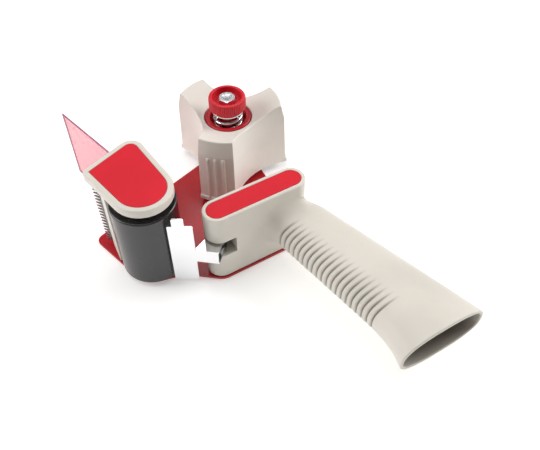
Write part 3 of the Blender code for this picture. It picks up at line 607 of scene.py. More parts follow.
def make_screw(name):
    """Countersunk screw with a cross recess and a threaded shank."""
    x, y = middle(name)
    low = base(name)
    length = top(name) - low
    cone = SCREW_HEAD_R - SCREW_R + SCREW_RIM
    profile = [(0.0, 0.0), (SCREW_HEAD_R - SCREW_RIM, 0.0), (SCREW_HEAD_R, SCREW_RIM), (SCREW_R, cone)]
    height = cone - SCREW_RIM + 2.0 * SCREW_PITCH
    while height < length - 2.0 * SCREW_PITCH:
        profile.append((SCREW_ROOT_R, height))
        profile.append((SCREW_R, height + 0.4 * SCREW_PITCH))
        profile.append((SCREW_ROOT_R, height + 0.8 * SCREW_PITCH))
        height += SCREW_PITCH
    profile += [(SCREW_R * 0.7, length - SCREW_PITCH), (0.0, length)]
    screw = spin(name + "_cross_head", (x, y, low), profile, 40)
    arm = 1.5 * SCREW_HEAD_R
    for along, across in ((arm, RECESS_WIDTH), (RECESS_WIDTH, arm)):
        outline = strip((x - along / 2.0, y), (x + along / 2.0, y), across)
        cut(screw, pillar("recess", outline, low - MM, low + RECESS_DEPTH))
    done(screw, zinc, "frame", name)


# ---- tape hub

HUB_TURN = math.radians(-132.1)
HUB_HALF = math.radians(18.0)
HUB_WAIST = 0.53
HUB_LEAD_Z = 43.0 * MM
HUB_LEAD_R = 37.0 * MM
HUB_FOOT_R = 38.1 * MM
HUB_TOP_R = 34.7 * MM
HUB_TIP_Z = 54.5 * MM
HUB_LIP_R = 39.0 * MM
HUB_LIP_Z = HUB_BASE + 3.2 * MM
DISH_R = 17.0 * MM
DISH_Z = 46.7 * MM
DISH_SLOPE = (HUB_TIP_Z - DISH_Z) / (HUB_TOP_R - DISH_R)
HUB_ROUNDING = 1.1 * MM
HUB_WALL = 2.4 * MM
HUB_BORE_R = 7.3 * MM
HUB_TUBE_R = 10.3 * MM
WELL_R = CUP_R + 2.0 * GAP
WELL_OUTER_R = 17.5 * MM
RIB_TOP = 41.8 * MM
RIB_PITCH = 5.0 * MM
RIB_HALF = 1.15 * MM
RIB_PROUD = 0.9 * MM


def hub_rays(face=60, waist=18):
    """Angle, share of the lobe radius, and place across a lobe's face or None, round the hub."""
    rays = []
    third = 2.0 * math.pi / 3.0
    for lobe in range(3):
        centre = HUB_TURN + lobe * third
        for k in range(face + 1):
            angle = HUB_HALF * (2.0 * k / face - 1.0)
            rays.append((centre + angle, 1.0, math.sin(angle)))
        corner = heading(HUB_HALF)
        far = heading(third - HUB_HALF)
        pull = 2.0 * HUB_WAIST - math.cos(third / 2.0 - HUB_HALF)
        bend = heading(third / 2.0, pull)
        for k in range(1, waist):
            t = k / waist
            point = corner * (1 - t) ** 2 + bend * 2 * t * (1 - t) + far * t ** 2
            rays.append((centre + math.atan2(point.y, point.x), point.length, None))
    return rays


def lobe_radius(z):
    """The lobes taper a little up to the lead-in, and more above it."""
    if z < HUB_LEAD_Z:
        return HUB_FOOT_R + (HUB_LEAD_R - HUB_FOOT_R) * (z - HUB_BASE) / (HUB_LEAD_Z - HUB_BASE)
    return HUB_LEAD_R + (HUB_TOP_R - HUB_LEAD_R) * (z - HUB_LEAD_Z) / (HUB_TIP_Z - HUB_LEAD_Z)


def dish_height(radius):
    """The dish: flat in the middle and rising to the lobes' tips."""
    return DISH_Z + max(0.0, radius - DISH_R) * DISH_SLOPE


def smooth_dish(radius):
    """The dish with the corner at its middle eased over."""
    soft = 2.5 * MM
    past = radius - DISH_R
    if abs(past) >= soft:
        return dish_height(radius)
    return DISH_Z + DISH_SLOPE * (past + soft) ** 2 / (4.0 * soft)


def rim_height(share):
    """Height at which the dish meets the hub's side, for a share of the lobe radius."""
    height = HUB_TIP_Z
    for _ in range(8):
        height = dish_height(share * lobe_radius(height))
    return height


def rib_height(side, z):
    """Three rounded ribs stand out of each lobe's face and die out at their tops."""
    if z > RIB_TOP:
        return 0.0
    across = side * HUB_LEAD_R
    nearest = min(abs(across - offset) for offset in (-RIB_PITCH, 0.0, RIB_PITCH))
    swell = max(0.0, 1.0 - (nearest / RIB_HALF) ** 2) ** 0.5
    ease = min(1.0, (RIB_TOP - z) / (1.5 * MM)) ** 0.5
    return RIB_PROUD * swell * ease


def hub_ring(rays, place):
    """A loop round the hub; place gives a ray's radius and height from its share and its side."""
    points = []
    for angle, share, side in rays:
        radius, z = place(share, side)
        points.append(Vector((radius * math.cos(angle), radius * math.sin(angle), z)))
    return points


def side_ring(rays, z, ledge=0.0):
    """A loop round the hub's side. The lobes alone have ribs and a ledge."""
    def place(share, side):
        proud = 0.0 if side is None else max(ledge, rib_height(side, z))
        return share * lobe_radius(z) + proud, z

    return hub_ring(rays, place)


def rim_ring(rays, inset, drop):
    """A loop on the rounded edge between the hub's side and its dish."""
    def place(share, side):
        rim = rim_height(share)
        return share * lobe_radius(rim - drop) - inset, rim - drop - inset * 0.35

    return hub_ring(rays, place)


def dish_ring(rays, inward):
    """A loop in the dish, some of the way in from the rim to the well."""
    def place(share, side):
        rim = share * lobe_radius(rim_height(share)) - HUB_ROUNDING
        radius = rim + (WELL_R + 0.8 * MM - rim) * inward
        return radius, smooth_dish(radius)

    return hub_ring(rays, place)


def make_hub():
    """One closed skin: up the side, over the rim, down the dish and well, back up inside."""
    rays = hub_rays()
    ledge = HUB_LIP_R - lobe_radius(HUB_LIP_Z)
    ease = 0.4 * MM
    lip = [(HUB_BASE, 0.0), (HUB_BASE, ledge - ease), (HUB_BASE + ease, ledge)]
    lip += [(HUB_LIP_Z - ease, ledge), (HUB_LIP_Z, ledge - ease)]
    sections = [side_ring(rays, z, proud) for z, proud in lip]
    rib_run = RIB_TOP - 2.0 * MM - HUB_LIP_Z
    for k in range(8):
        sections.append(side_ring(rays, HUB_LIP_Z + rib_run * k / 7.0))
    for drop in (1.4, 1.0, 0.6, 0.3, 0.1, -0.05):
        sections.append(side_ring(rays, RIB_TOP - drop * MM))
    for rise in (-0.5, 0.5, 2.5):
        sections.append(side_ring(rays, HUB_LEAD_Z + rise * MM))
    for inset, drop in edge_round(HUB_ROUNDING, 5):
        sections.append(rim_ring(rays, inset, drop))
    for inward in (0.3, 0.6, 0.8, 0.92, 1.0):
        sections.append(dish_ring(rays, inward))
    for radius, z in (
        (WELL_R + 0.25 * MM, DISH_Z - 0.1 * MM), (WELL_R, DISH_Z - 0.5 * MM), (WELL_R, CUP_BASE - GAP),
        (HUB_BORE_R, CUP_BASE - GAP), (HUB_BORE_R, HUB_BASE), (HUB_TUBE_R, HUB_BASE),
        (HUB_TUBE_R, 30.0 * MM), (WELL_OUTER_R, 36.0 * MM), (WELL_OUTER_R, DISH_Z - HUB_WALL),
    ):
        sections.append(hub_ring(rays, lambda share, side: (radius, z)))
    inside = HUB_LEAD_R - HUB_WALL
    least = WELL_OUTER_R + 0.1 * MM
    for radius, z in ((inside - 3.0 * MM, HUB_LEAD_Z + MM), (inside, HUB_LEAD_Z - 2.0 * MM)):
        sections.append(hub_ring(rays, lambda share, side: (max(least, share * radius), z)))
    sections.append(sections[0])
    done(grow("hub", sections), hub_beige_painted_light, "hub", "tape_hub")


# ---- brake

CUP_RING = 3.3 * MM
CUP_BORE_R = 4.9 * MM
CUP_FLOOR = 2.0 * MM
SPRING_WIRE_R = 0.9 * MM
SPRING_TURNS = 2.5
KNOB_RIM = 2.6 * MM
KNOB_FLOOR = KNOB_BASE + 3.7 * MM
BOLT_R = 2.9 * MM
BOLT_ROOT_R = 2.55 * MM
BOLT_PITCH = 1.0 * MM
BOLT_HEAD = 4.2 * MM
BOLT_HOLE_R = BOLT_R + GAP
POST_R = 7.0 * MM
POST_THREAD = 10.0 * MM


def make_cup():
    """Glossy red cup whose wide rim lies in the hub's dish."""
    height = CUP_TOP - CUP_BASE
    inner = CUP_R - CUP_RING
    step = height - 0.5 * MM
    corners = [
        (CUP_BORE_R, 0.0, 0.0), (CUP_R, 0.0, 0.5 * MM), (CUP_R, height, 0.7 * MM),
        (CUP_R - 0.9 * MM, height, 0.2 * MM), (CUP_R - 1.1 * MM, step, 0.15 * MM), (inner, step, 0.6 * MM),
        (inner, CUP_FLOOR + 1.5 * MM, 0.6 * MM), (inner - 1.2 * MM, CUP_FLOOR, 0.3 * MM),
        (CUP_BORE_R, CUP_FLOOR, 0.0),
    ]
    done(spin("cup", (0.0, 0.0, CUP_BASE), eased(corners), 96), cup_red, "hub", "brake_cup")


def make_spring():
    """Brake spring: a coil wound from the cup up to the washer."""
    low, high = base("brake_spring"), top("brake_spring")
    radius = reach("brake_spring") - SPRING_WIRE_R
    coil_piece = coil("spring", (0.0, 0.0), radius, SPRING_WIRE_R, low, high, SPRING_TURNS)
    done(coil_piece, spring_steel, None, "brake_spring", 50.0)
    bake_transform(coil_piece)


def make_washer():
    washer = turned_ring("washer", "brake_washer", (0.0, 0.0), BOLT_HOLE_R, 0.15 * MM, 0.3 * MM, 72)
    done(washer, zinc, "washer", "brake_washer")


def make_knob(ridges=60, per_ridge=6):
    """Red knob: fine rounded ridges round a rim that stands up round a sunk floor."""
    count = ridges * per_ridge
    height = KNOB_TOP - KNOB_BASE
    rim = KNOB_R - KNOB_RIM

    def ring(radius, z, depth=0.0):
        points = []
        for i in range(count):
            angle = 2.0 * math.pi * i / count
            ridge = abs(math.sin(math.pi * i / per_ridge)) ** 0.7
            r = radius - depth * (1.0 - ridge)
            points.append(Vector((r * math.cos(angle), r * math.sin(angle), z)))
        return points

    depth = 0.55 * MM
    sections = [ring(BOLT_HOLE_R, KNOB_BASE)]
    for inset, rise in ((1.4, 0.0), (1.0, 0.1), (0.75, 0.5), (0.7, 0.8)):
        sections.append(ring(KNOB_R - inset * MM, KNOB_BASE + rise * MM))
    sections.append(ring(KNOB_R - 0.1 * MM, KNOB_BASE + 1.1 * MM, depth))
    for share in (0.2, 0.5, 0.75):
        sections.append(ring(KNOB_R, KNOB_BASE + height * share, depth))
    sections.append(ring(KNOB_R - 0.05 * MM, KNOB_TOP - 1.5 * MM, depth))
    for inset, drop in edge_round(1.3 * MM, 5):
        fade = depth * max(0.0, 1.0 - inset / MM)
        sections.append(ring(KNOB_R - 0.1 * MM - inset, KNOB_TOP - drop, fade))
    for inset, drop in reversed(edge_round(0.5 * MM, 4)):
        sections.append(ring(rim + inset, KNOB_TOP - drop))
    for inset, rise in ((0.0, 0.6), (0.2, 0.15), (0.7, 0.0)):
        sections.append(ring(rim - inset * MM, KNOB_FLOOR + rise * MM))
    for radius, rise in ((6.6, 0.0), (6.4, 0.15), (5.9, 0.15)):
        sections.append(ring(radius * MM, KNOB_FLOOR + rise * MM))
    sections += [ring(BOLT_HOLE_R, KNOB_FLOOR + 0.1 * MM), sections[0]]
    done(grow("knob", sections), knob_red, "knob", "brake_knob")


def make_bolt():
    """Hex head with the corners turned off, a shallow dimple, and a threaded shank."""
    corner = reach("brake_bolt")
    flat = corner * math.cos(math.pi / 6.0)
    low = base("brake_bolt")
    high = top("brake_bolt")
    head = high - BOLT_HEAD
    hexagon = [heading(math.pi * k / 3.0, corner) for k in range(6)]
    bolt = pillar("bolt", hexagon, head, high)
    corners = [
        (0.0, 0.0, 0.0), (corner * 1.3, 0.0, 0.0), (corner * 1.3, BOLT_HEAD - 1.1 * MM, 0.0),
        (flat - 0.1 * MM, BOLT_HEAD, 0.15 * MM), (flat * 0.62, BOLT_HEAD, 0.15 * MM),
        (flat * 0.55, BOLT_HEAD - 0.25 * MM, 0.15 * MM), (0.0, BOLT_HEAD - 0.35 * MM, 0.0),
    ]
    combine(bolt, spin("turning", (0.0, 0.0, head), eased(corners), 72), "INTERSECT")
    profile = [(0.0, 0.0), (BOLT_R - 0.5 * MM, 0.0), (BOLT_R, 0.5 * MM)]
    height = BOLT_PITCH
    while height < 20.0 * MM:
        profile += [(BOLT_R, height), (BOLT_ROOT_R, height + BOLT_PITCH / 2.0)]
        height += BOLT_PITCH
    inside_head = head - low + 0.5 * MM
    profile += [(BOLT_R, height), (BOLT_R, inside_head), (0.0, inside_head)]
    join(bolt, spin("shank", (0.0, 0.0, low), profile, 40))
    done(bolt, bright_zinc, "knob", "brake_bolt")


def make_post():
    """Flanged post that the hub turns on, with a threaded hole for the bolt."""
    low = base("hub_post")
    flange = reach("hub_post")
    high = top("hub_post") - low
    thick = HUB_BASE - GAP - low
    corners = [
        (0.0, POST_THREAD, 0.0), (0.0, 0.0, 0.0), (flange, 0.0, 0.2 * MM), (flange, thick, 0.4 * MM),
        (POST_R, thick, 0.4 * MM), (POST_R, high, 0.6 * MM), (BOLT_HOLE_R, high, 0.3 * MM),
        (BOLT_HOLE_R, POST_THREAD, 0.0),
    ]
    done(spin("post", (0.0, 0.0, low), eased(corners), 64), zinc, "frame", "hub_post")


# ---- roller

SLEEVE_T = 4.3 * MM
CORE_WALL = 2.0 * MM
CORE_WEB = 3.0 * MM
CORE_SPOKES = 6
AXLE_HOLE_R = 3.3 * MM


def make_roller():
    low = base("roller_sleeve")
    length = top("roller_sleeve") - low
    bore = ROLLER_R - SLEEVE_T
    sleeve = turned_ring("sleeve", "roller_sleeve", ROLLER, bore, 0.3 * MM, 1.0 * MM, 128, 6)
    done(sleeve, black_rubber, "roller", "roller_sleeve")
    make_core(low, length)
    axle_low, axle_high = base("roller_axle"), top("roller_axle")
    axle = rod("axle", *ROLLER, reach("roller_axle"), axle_low, axle_high, 0.4 * MM)
    done(axle, zinc, "frame", "roller_axle")
    for node in ("roller_bush_lower", "roller_bush_upper"):
        bush = turned_ring(node + "_turned", node, ROLLER, AXLE_HOLE_R, 0.2 * MM, 0.4 * MM, 64)
        done(bush, black_nylon, "frame", node)


def make_core(low, length):
    """Moulded core: a thin skin and a boss, joined by a web half way along and by spokes."""
    outer = ROLLER_R - SLEEVE_T - GAP
    skin = outer - CORE_WALL
    boss = AXLE_HOLE_R + CORE_WALL
    high = length - GAP
    web_low = length / 2.0 - CORE_WEB / 2.0
    web_high = length / 2.0 + CORE_WEB / 2.0
    corners = [
        (outer, GAP, 0.3 * MM), (outer, high, 0.3 * MM), (skin, high, 0.3 * MM), (skin, web_high, 0.6 * MM),
        (boss, web_high, 0.6 * MM), (boss, high, 0.3 * MM), (AXLE_HOLE_R, high, 0.2 * MM),
        (AXLE_HOLE_R, GAP, 0.2 * MM), (boss, GAP, 0.3 * MM), (boss, web_low, 0.6 * MM),
        (skin, web_low, 0.6 * MM), (skin, GAP, 0.3 * MM),
    ]
    core = spin("core", (*ROLLER, low), eased(corners), 96)
    for k in range(CORE_SPOKES):
        angle = 2.0 * math.pi * k / CORE_SPOKES
        direction = heading(angle)
        start = Vector(ROLLER) + direction * (boss - 0.3 * MM)
        end = Vector(ROLLER) + direction * (skin + 0.3 * MM)
        join(core, pillar("spoke", strip(start, end, 1.2 * MM), low + 1.5 * MM, low + length - 1.5 * MM))
    done(core, black_nylon, "roller", "roller_core")


# ---- nose housing, blade and flap

CAP_BASE = CAP_TOP - 5.3 * MM
CAP_CIRCLES = [
    (-73.5 * MM, -17.5 * MM, 8.0 * MM),
    (-80.9 * MM, -49.7 * MM, 17.8 * MM),
    (-100.6 * MM, -22.7 * MM, 3.6 * MM),
]
CAP_BORDER = 3.3 * MM
NOSE_WALL = 2.0 * MM
BLADE_ROOT = Vector((-98.4 * MM, -22.5 * MM))
BLADE_ALONG = heading(math.radians(123.7))
BLADE_IN = Vector((BLADE_ALONG.y, -BLADE_ALONG.x))
BLADE_T = 0.8 * MM
BLADE_DEPTH = 9.0 * MM
RIVET_R = 1.1 * MM
RIVET_HEAD_R = 1.6 * MM
RIVET_DEPTH = 6.5 * MM
FLAP_OUT = heading(math.radians(103.3))
FLAP_LENGTH = 59.79 * MM
FLAP_T = 0.6 * MM
FLAP_SHEET = (20.0 * MM) ** 2


def lidded(name, circles, low, high, border, depth, edge, steps=20):
    """A belt-shaped block with rounded edges and a sunk panel seat in its top."""
    def ring(inset, z):
        return level(inset_belt(circles, inset, steps), z)

    sections = [ring(inset, low + drop) for inset, drop in reversed(edge_round(0.4 * MM, 2))]
    sections += [ring(inset, high - drop) for inset, drop in edge_round(edge, 6)]
    sections += [ring(border - inset, high - drop) for inset, drop in reversed(edge_round(0.25 * MM, 2))]
    sections.append(ring(border, high - depth))
    return grow(name, sections)


def make_panel(name, node, circles, border, low, high):
    """A red panel let into its seat, its edge rounded over."""
    seat = border + GAP * 0.6
    places = [(seat, low)] + [(seat + inset, high - drop) for inset, drop in edge_round(0.35 * MM, 4)]
    places.append((border + 1.2 * MM, high))
    sections = [level(inset_belt(circles, inset, 20), z) for inset, z in places]
    done(grow(name, sections), inlay_red, "frame", node)


def make_nose():
    inlay_floor = base("nose_inlay")
    depth = CAP_TOP - inlay_floor + GAP
    nose = lidded("nose", CAP_CIRCLES, CAP_BASE, CAP_TOP, CAP_BORDER, depth, 1.1 * MM)
    roof = CAP_BASE + 1.3 * MM
    start = Vector((-99.9 * MM, -38.5 * MM))
    end = Vector((-98.7 * MM, -24.6 * MM))
    inner_top = end + Vector((0.9, -0.8)) * NOSE_WALL
    inner_foot = start + Vector((NOSE_WALL, 0.0))
    corners = [(*start, 0.5 * MM), (*inner_foot, 0.5 * MM), (*inner_top, 0.3 * MM), (*end, 0.6 * MM)]
    join(nose, pillar("left_wall", eased(corners), SEAT, roof))
    top_wall = strip((-97.0 * MM, -22.2 * MM), (-72.0 * MM, -13.9 * MM), NOSE_WALL)
    join(nose, pillar("top_wall", top_wall, SEAT, roof))
    mount = BLADE_T / 2.0 + GAP + 1.25 * MM
    mount_end = BLADE_ROOT + BLADE_IN * mount
    mount_strip = strip(mount_end - BLADE_ALONG * BLADE_DEPTH, mount_end, 2.5 * MM)
    join(nose, pillar("mount", mount_strip, SEAT, roof))
    foot = belt([(-95.2 * MM, -26.5 * MM, 3.0 * MM), (-73.5 * MM, -18.9 * MM, 4.3 * MM)])
    join(nose, pillar("foot", foot, SEAT, SEAT + 2.0 * MM))
    for name in NOSE_SCREWS:
        join(nose, rod("column", *middle(name), 4.0 * MM, SEAT + GAP, roof))
        cut(nose, rod("pilot", *middle(name), SCREW_R + GAP, 0.0, 13.5 * MM))
    hinge = Vector(FLAP_HINGE)
    rib_end = hinge - FLAP_OUT * GAP
    rib = strip(rib_end - FLAP_OUT * 6.6 * MM, rib_end, 2.6 * MM)
    join(nose, pillar("flap_rib", rib, base("tape_flap"), top("tape_flap")))
    cut(nose, rod("axle_hole", *ROLLER, AXLE_HOLE_R, CAP_BASE - MM, top("roller_axle") + GAP))
    done(nose, beige, "frame", "nose_housing")
    make_panel("nose_panel", "nose_inlay", CAP_CIRCLES, CAP_BORDER, inlay_floor, CAP_TOP)


def make_blade(teeth=18, pitch=2.75 * MM, length=4.3 * MM):
    """Saw-toothed strip with a ground bevel on its teeth, held by three rivets."""
    low = base("cutting_blade")
    high = low + teeth * pitch
    at = upright(BLADE_ROOT, BLADE_ALONG)
    outline = [at(-BLADE_DEPTH, low)]
    for tooth in range(teeth):
        z = low + tooth * pitch
        outline += [at(0.0, z + 0.05 * pitch), at(length, z + 0.32 * pitch)]
        outline += [at(length, z + 0.40 * pitch), at(0.0, z + 0.67 * pitch)]
    outline += [at(0.0, high), at(-BLADE_DEPTH, high)]
    blade = slab("blade", outline, BLADE_T)
    spot = BLADE_ROOT - BLADE_ALONG * RIVET_DEPTH
    side = (*BLADE_IN, 0.0)
    near = BLADE_T / 2.0 + GAP
    dome = -near - 0.8 * MM
    tail = near + 2.5 * MM
    corners = [
        (0.0, dome, 0.0), (0.9 * MM, dome, 0.4 * MM), (RIVET_HEAD_R, dome + 0.5 * MM, 0.3 * MM),
        (RIVET_HEAD_R, -near, 0.05 * MM), (RIVET_R, -near, 0.05 * MM), (RIVET_R, tail, 0.2 * MM),
        (0.0, tail, 0.0),
    ]
    hole_r = RIVET_R + GAP
    hole = [(0.0, -MM), (hole_r, -MM), (hole_r, MM), (0.0, MM)]
    for i in range(3):
        z = low + teeth * pitch * (i + 0.5) / 3.0
        place = (spot.x, spot.y, z)
        cut(blade, spin("hole", place, hole, 32, side))
        rivet = spin(f"rivet_{i + 1}", place, eased(corners), 32, side)
        done(rivet, zinc, "frame", f"blade_rivet_{i + 1}")
    bevel(blade, 0.12 * MM, 1)
    done(blade, ground_steel, "frame", "cutting_blade", 20.0)


def make_flap():
    """Film flap with a deeper tint along its cut edges, where the light gathers."""
    low, high = base("tape_flap"), top("tape_flap")
    at = upright(Vector(FLAP_HINGE), FLAP_OUT)
    outline = [at(0.0, low), at(FLAP_LENGTH, low), at(FLAP_LENGTH, high), at(0.0, high)]
    flap = slab("flap", outline, FLAP_T)
    bpy.ops.object.mode_set(mode="EDIT")
    bpy.ops.mesh.select_mode(type="FACE")
    bpy.ops.mesh.select_all(action="DESELECT")
    mesh = bmesh.from_edit_mesh(flap.data)
    for face in mesh.faces:
        face.select_set(face.calc_area() > FLAP_SHEET)
    bmesh.update_edit_mesh(flap.data)
    bpy.ops.mesh.inset(thickness=1.2 * MM)
    bpy.ops.mesh.select_mode(type="VERT")
    bpy.ops.object.mode_set(mode="OBJECT")
    done(flap, pink_film, "flap", "tape_flap")
    flap.data.materials.append(pink_edge)
    for polygon in flap.data.polygons:
        polygon.material_index = 0 if polygon.area > FLAP_SHEET else 1


# ---- handle

GRIP_JOIN = -85.0 * MM
GRIP_END = -190.0 * MM
GRIP_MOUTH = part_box("handle")[0][1]
GRIP_Z = 25.85 * MM
GRIP_SIDES = 104
GRIP_OVAL = 2.6
GRIP_WALL = 2.2 * MM
FLARE_START = -160.0 * MM
JOIN_LENGTH = 11.0 * MM
FRONT_WALL = NOSE_PIVOT[1] - HOUSING_R
GROOVES = 20
GROOVE_START = -93.5 * MM
GROOVE_PITCH = 3.85 * MM
GROOVE_DEPTH = 1.0 * MM
SLOT_FRONT, SLOT_BACK = -58.0 * MM, -41.1 * MM
SLOT_NEAR, SLOT_FAR = -85.0 * MM, -68.0 * MM
SLOT_LOW, SLOT_HIGH = 21.0 * MM, 33.3 * MM
PANEL_BORDER = 2.25 * MM
PIN_HOLE_R = 1.8 * MM


def valley_at(y):
    """How deep in a groove a place along the grip is: 1 on its line, 0 on top of the low ridges."""
    place = (GROOVE_START - y) / GROOVE_PITCH
    if place < -0.5 or place > GROOVES - 0.5:
        return 0.0
    away = abs(place - round(place))
    line = max(0.0, 1.0 - away / 0.22)
    ridge = 1.0 - abs(math.sin(math.pi * away)) ** 0.6
    return 0.7 * line + 0.3 * ridge


def grip_shape(y):
    """Middle, half width and half thickness of the grip across its length."""
    run = (GRIP_JOIN - y) / (GRIP_JOIN - GRIP_END)
    near = min(1.0, max(0.0, 1.0 - (FRONT_WALL - y) / JOIN_LENGTH))
    swell = 1.0 - math.sqrt(1.0 - near * near)
    flare = max(0.0, (FLARE_START - y) / (FLARE_START - GRIP_MOUTH)) ** 2.6
    front = (-19.65 + 16.85 * run - 3.5 * swell - 7.1 * flare) * MM
    back = (16.1 + 29.8 * run - 6.5 * near ** 3) * MM
    half = (10.9 + 2.2 * run + 9.0 * swell) * MM
    return (front + back) / 2.0, (back - front) / 2.0, half


def grip_section(y, shrink=0.0, groove=0.0):
    """Flat oval section of the grip across its length, drawn in by a wall or grooved in front."""
    centre, wide, thick = grip_shape(y)
    wide -= shrink
    thick -= shrink
    power = 2.0 / GRIP_OVAL
    ring = []
    for i in range(GRIP_SIDES):
        angle = 2.0 * math.pi * (i + 0.5) / GRIP_SIDES
        c, s = math.cos(angle), math.sin(angle)
        depth = groove * min(1.0, max(0.0, -c - 0.2) * 2.2) ** 0.8
        x = math.copysign(abs(c) ** power, c) * (wide - depth)
        z = math.copysign(abs(s) ** power, s) * (thick - depth)
        ring.append(Vector((centre + x, y, GRIP_Z + z)))
    return ring


def grip_sections():
    """Sections from the housing to the mouth: rounded ridges between narrow grooves."""
    sections = [grip_section(FRONT_WALL + 5.0 * MM), grip_section(FRONT_WALL + 2.0 * MM)]
    first = GROOVE_START + 0.5 * GROOVE_PITCH
    for k in range(15):
        sections.append(grip_section(FRONT_WALL + (first - FRONT_WALL) * (k / 15.0) ** 1.3))
    steps = 10
    for i in range(GROOVES * steps + 1):
        y = first - GROOVE_PITCH * i / steps
        sections.append(grip_section(y, groove=GROOVE_DEPTH * valley_at(y)))
    last = first - GROOVES * GROOVE_PITCH
    lip = 1.7 * MM
    for k in range(12):
        sections.append(grip_section(last + (GRIP_MOUTH + lip - last) * (k + 1.0) / 13.0))
    for inset, drop in edge_round(1.1 * MM, 5):
        sections.append(grip_section(GRIP_MOUTH + drop, shrink=inset))
    return sections


def hollow_sections():
    sections = []
    start = GRIP_JOIN - 4.0 * MM
    for k in range(14):
        y = start + (GRIP_MOUTH + MM - start) * k / 13.0
        sections.append(grip_section(y, shrink=GRIP_WALL))
    sections.append(grip_section(GRIP_MOUTH + 0.3 * MM, shrink=2.0 * MM))
    sections.append(grip_section(GRIP_MOUTH - 0.4 * MM, shrink=1.5 * MM))
    sections.append(grip_section(GRIP_MOUTH - 3.0 * MM, shrink=1.5 * MM))
    return sections


def mark_shade(handle):
    """Store where shade is painted on the handle, for its plastic to read: grooves, slot and the grip's
    inside.
    """
    shade = handle.data.attributes.new("shade", "FLOAT", "POINT")
    for i, vertex in enumerate(handle.data.vertices):
        x, y, z = vertex.co
        if y > GROOVE_START + GROOVE_PITCH:
            from_axis = math.hypot(min(0.0, x - NOSE_PIVOT[0]), y - NOSE_PIVOT[1])
            in_slot = x < SLOT_BACK + GAP and SLOT_LOW - GAP < z < SLOT_HIGH + GAP
            if in_slot and from_axis < HOUSING_R - 1.5 * MM:
                # Painted shade inside the slot.
                shade.data[i].value = 1.0
            continue
        centre, wide, thick = grip_shape(y)
        wall = 1.7 * MM
        across = abs((x - centre) / (wide - wall)) ** GRIP_OVAL
        if across + abs((z - GRIP_Z) / (thick - wall)) ** GRIP_OVAL < 1.0:
            # Painted shade on the grip's inside, growing in from the mouth.
            shade.data[i].value = min(1.0, max(0.0, (y - GRIP_MOUTH - 0.2 * MM) / (1.5 * MM)))
        elif x < centre:
            # Painted shade in the grooves, on the grip's front side.
            facing = min(1.0, max(0.0, (centre - x) / wide - 0.25) * 1.8)
            shade.data[i].value = 0.85 * valley_at(y) * facing


def make_handle():
    circles = [(*NOSE_PIVOT, HOUSING_R), (*HOUSING_BACK, HOUSING_R)]
    inlay_floor = base("handle_inlay")
    depth = HOUSING_TOP - inlay_floor + GAP
    handle = lidded("grip_and_housing", circles, SEAT, HOUSING_TOP, PANEL_BORDER, depth, 0.9 * MM, 36)
    join(handle, grow("grip", grip_sections()))
    cut(handle, grow("grip_hollow", hollow_sections()))
    inner = HOUSING_R - GRIP_WALL
    hollow = belt([(-32.3 * MM, NOSE_PIVOT[1], inner), (*HOUSING_BACK, inner)])
    cut(handle, pillar("housing_hollow", hollow, 0.0, HOUSING_TOP - 3.0 * MM))
    slot = [(SLOT_FRONT, SLOT_NEAR), (SLOT_BACK, SLOT_NEAR), (SLOT_BACK, SLOT_FAR), (SLOT_FRONT, SLOT_FAR)]
    cut(handle, pillar("slot", slot, SLOT_LOW, SLOT_HIGH))
    pin_base, pin_top = base("retainer_pin"), top("retainer_pin")
    cut(handle, rod("pin_hole", *NOSE_PIVOT, PIN_HOLE_R, pin_base - GAP, pin_top + GAP))
    for name in HANDLE_SCREWS:
        x, y = middle(name)
        if x > NOSE_PIVOT[0] + MM:
            join(handle, rod("boss", x, y, 4.3 * MM, SEAT, HOUSING_TOP - 2.0 * MM))
        cut(handle, rod("pilot", x, y, SCREW_R + GAP, 0.0, top(name) + GAP))
    mark_shade(handle)
    done(handle, grip_beige, "frame", "handle", 28.0)
    make_panel("handle_panel", "handle_inlay", circles, PANEL_BORDER, inlay_floor, HOUSING_TOP)


# ---- tape retainer

RETAINER_T = 1.0 * MM
ARM_LOW = 21.3 * MM
ARM_HIGH = ARM_LOW + 10.5 * MM
OVERLAP = 0.02 * MM


def make_retainer():
    """Bright steel T beside the roller, on a channel-shaped arm that turns on the pin."""
    edge = Vector((-77.1 * MM, -69.5 * MM))
    fold = Vector((-65.0 * MM, -77.5 * MM))
    elbow = Vector((-54.9 * MM, -86.0 * MM))
    along = (fold - edge).normalized()
    width = (fold - edge).length
    low = base("retainer")
    high = top("retainer")
    shoulder = high - 6.0 * MM
    at = upright(edge, along)
    near, far = 2.9 * MM, 9.9 * MM
    corners = [(0.0, low, 0.8 * MM), (width, low, 0.8 * MM), (width, shoulder, 0.8 * MM)]
    corners += [(far, shoulder, 0.4 * MM), (far, high, 0.7 * MM), (near, high, 0.7 * MM)]
    corners += [(near, shoulder, 0.4 * MM), (0.0, shoulder, 0.8 * MM)]
    retainer = slab("retainer_plate", [at(s, z) for s, z in eased(corners)], RETAINER_T)
    join(retainer, pillar("arm", strip(fold - along * RETAINER_T, elbow, RETAINER_T), ARM_LOW, ARM_HIGH))
    tip = RETAINER_T / 2.0 - OVERLAP
    flange = [(*fold, tip), (*NOSE_PIVOT, 4.2 * MM), (*elbow, tip)]
    for z in (ARM_LOW + OVERLAP, ARM_HIGH - RETAINER_T - OVERLAP):
        join(retainer, pillar("flange", belt(flange), z, z + RETAINER_T))
    cut(retainer, rod("ear_hole", *NOSE_PIVOT, PIN_HOLE_R, ARM_LOW - MM, ARM_HIGH + MM))
    bevel(retainer, 0.16 * MM, 2)
    done(retainer, chrome, "retainer", "retainer")

    low, high = base("retainer_pin"), top("retainer_pin")
    pin = rod("pin", *NOSE_PIVOT, reach("retainer_pin"), low, high, 0.2 * MM, 32)
    done(pin, zinc, "frame", "retainer_pin")
    low, high = base("retainer_spring"), top("retainer_spring")
    torsion = coil("torsion_spring", NOSE_PIVOT, 2.6 * MM, 0.4 * MM, low, high, 5)
    done(torsion, spring_steel, "frame", "retainer_spring", 50.0)


# ---- stage

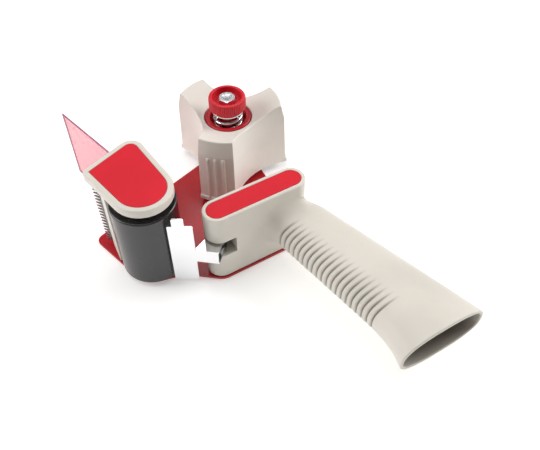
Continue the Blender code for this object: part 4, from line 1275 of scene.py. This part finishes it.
# name, azimuth, height, distance, size and power of each lamp
LAMPS = (
    ("overhead", 118.0, 78.0, 1.5, 1.5, 9.0),
    ("left_side", 152.0, 30.0, 1.3, 0.8, 7.0),
    ("right_side", -10.0, 30.0, 1.3, 0.8, 10.5),
    ("rear_card", 63.3, 49.0, 1.6, 0.36, 0.9),
)
LAMP_AIM = Vector((-0.02, -0.07, 0.03))
CAMERA_PLACE = (-0.148748, -0.295931, 0.320483)
CAMERA_TILT = math.radians(40.71)
CAMERA_TURN = math.radians(-31.45)


def make_stage():
    bpy.ops.object.select_all(action="DESELECT")
    bpy.ops.mesh.primitive_plane_add(size=30.0, location=(0.0, 0.0, -0.0002))
    floor = bpy.context.object
    floor.name = "floor"
    made, _, shader = material("floor_paper")
    settle(shader, Base_Color=(0.93, 0.93, 0.93, 1.0), Roughness=0.9)
    settle(shader, Emission_Color=(1.0, 1.0, 1.0, 1.0), Emission_Strength=0.3)
    floor.data.materials.append(made)

    world = bpy.data.worlds.new("studio")
    world.use_nodes = True
    settle(world.node_tree.nodes["Background"], Color=(1.0, 0.965, 0.91, 1.0), Strength=0.24)
    bpy.context.scene.world = world

    for name, azimuth, height, distance, size, power in LAMPS:
        light = bpy.data.lights.new(name, "AREA")
        light.shape = "DISK"
        light.size = size
        light.energy = power
        lamp = bpy.data.objects.new(name, light)
        around, up = math.radians(azimuth), math.radians(height)
        away = Vector((math.cos(around) * math.cos(up), math.sin(around) * math.cos(up), math.sin(up)))
        lamp.location = LAMP_AIM + away * distance
        lamp.rotation_euler = away.to_track_quat("Z", "Y").to_euler()
        bpy.context.collection.objects.link(lamp)

    camera = bpy.data.cameras.new("camera")
    camera.lens = 43.0
    camera.sensor_width = 36.0
    viewer = bpy.data.objects.new("camera", camera)
    viewer.location = CAMERA_PLACE
    viewer.rotation_euler = (CAMERA_TILT, 0.0, CAMERA_TURN)
    bpy.context.collection.objects.link(viewer)
    bpy.context.scene.camera = viewer
    bpy.context.scene.view_settings.view_transform = "Standard"


make_stage()
make_plate()
for screw_name in HANDLE_SCREWS + NOSE_SCREWS:
    make_screw(screw_name)
make_hub()
make_cup()
make_spring()
make_washer()
make_knob()
make_bolt()
make_post()
make_roller()
make_nose()
make_blade()
make_flap()
make_handle()
make_retainer()
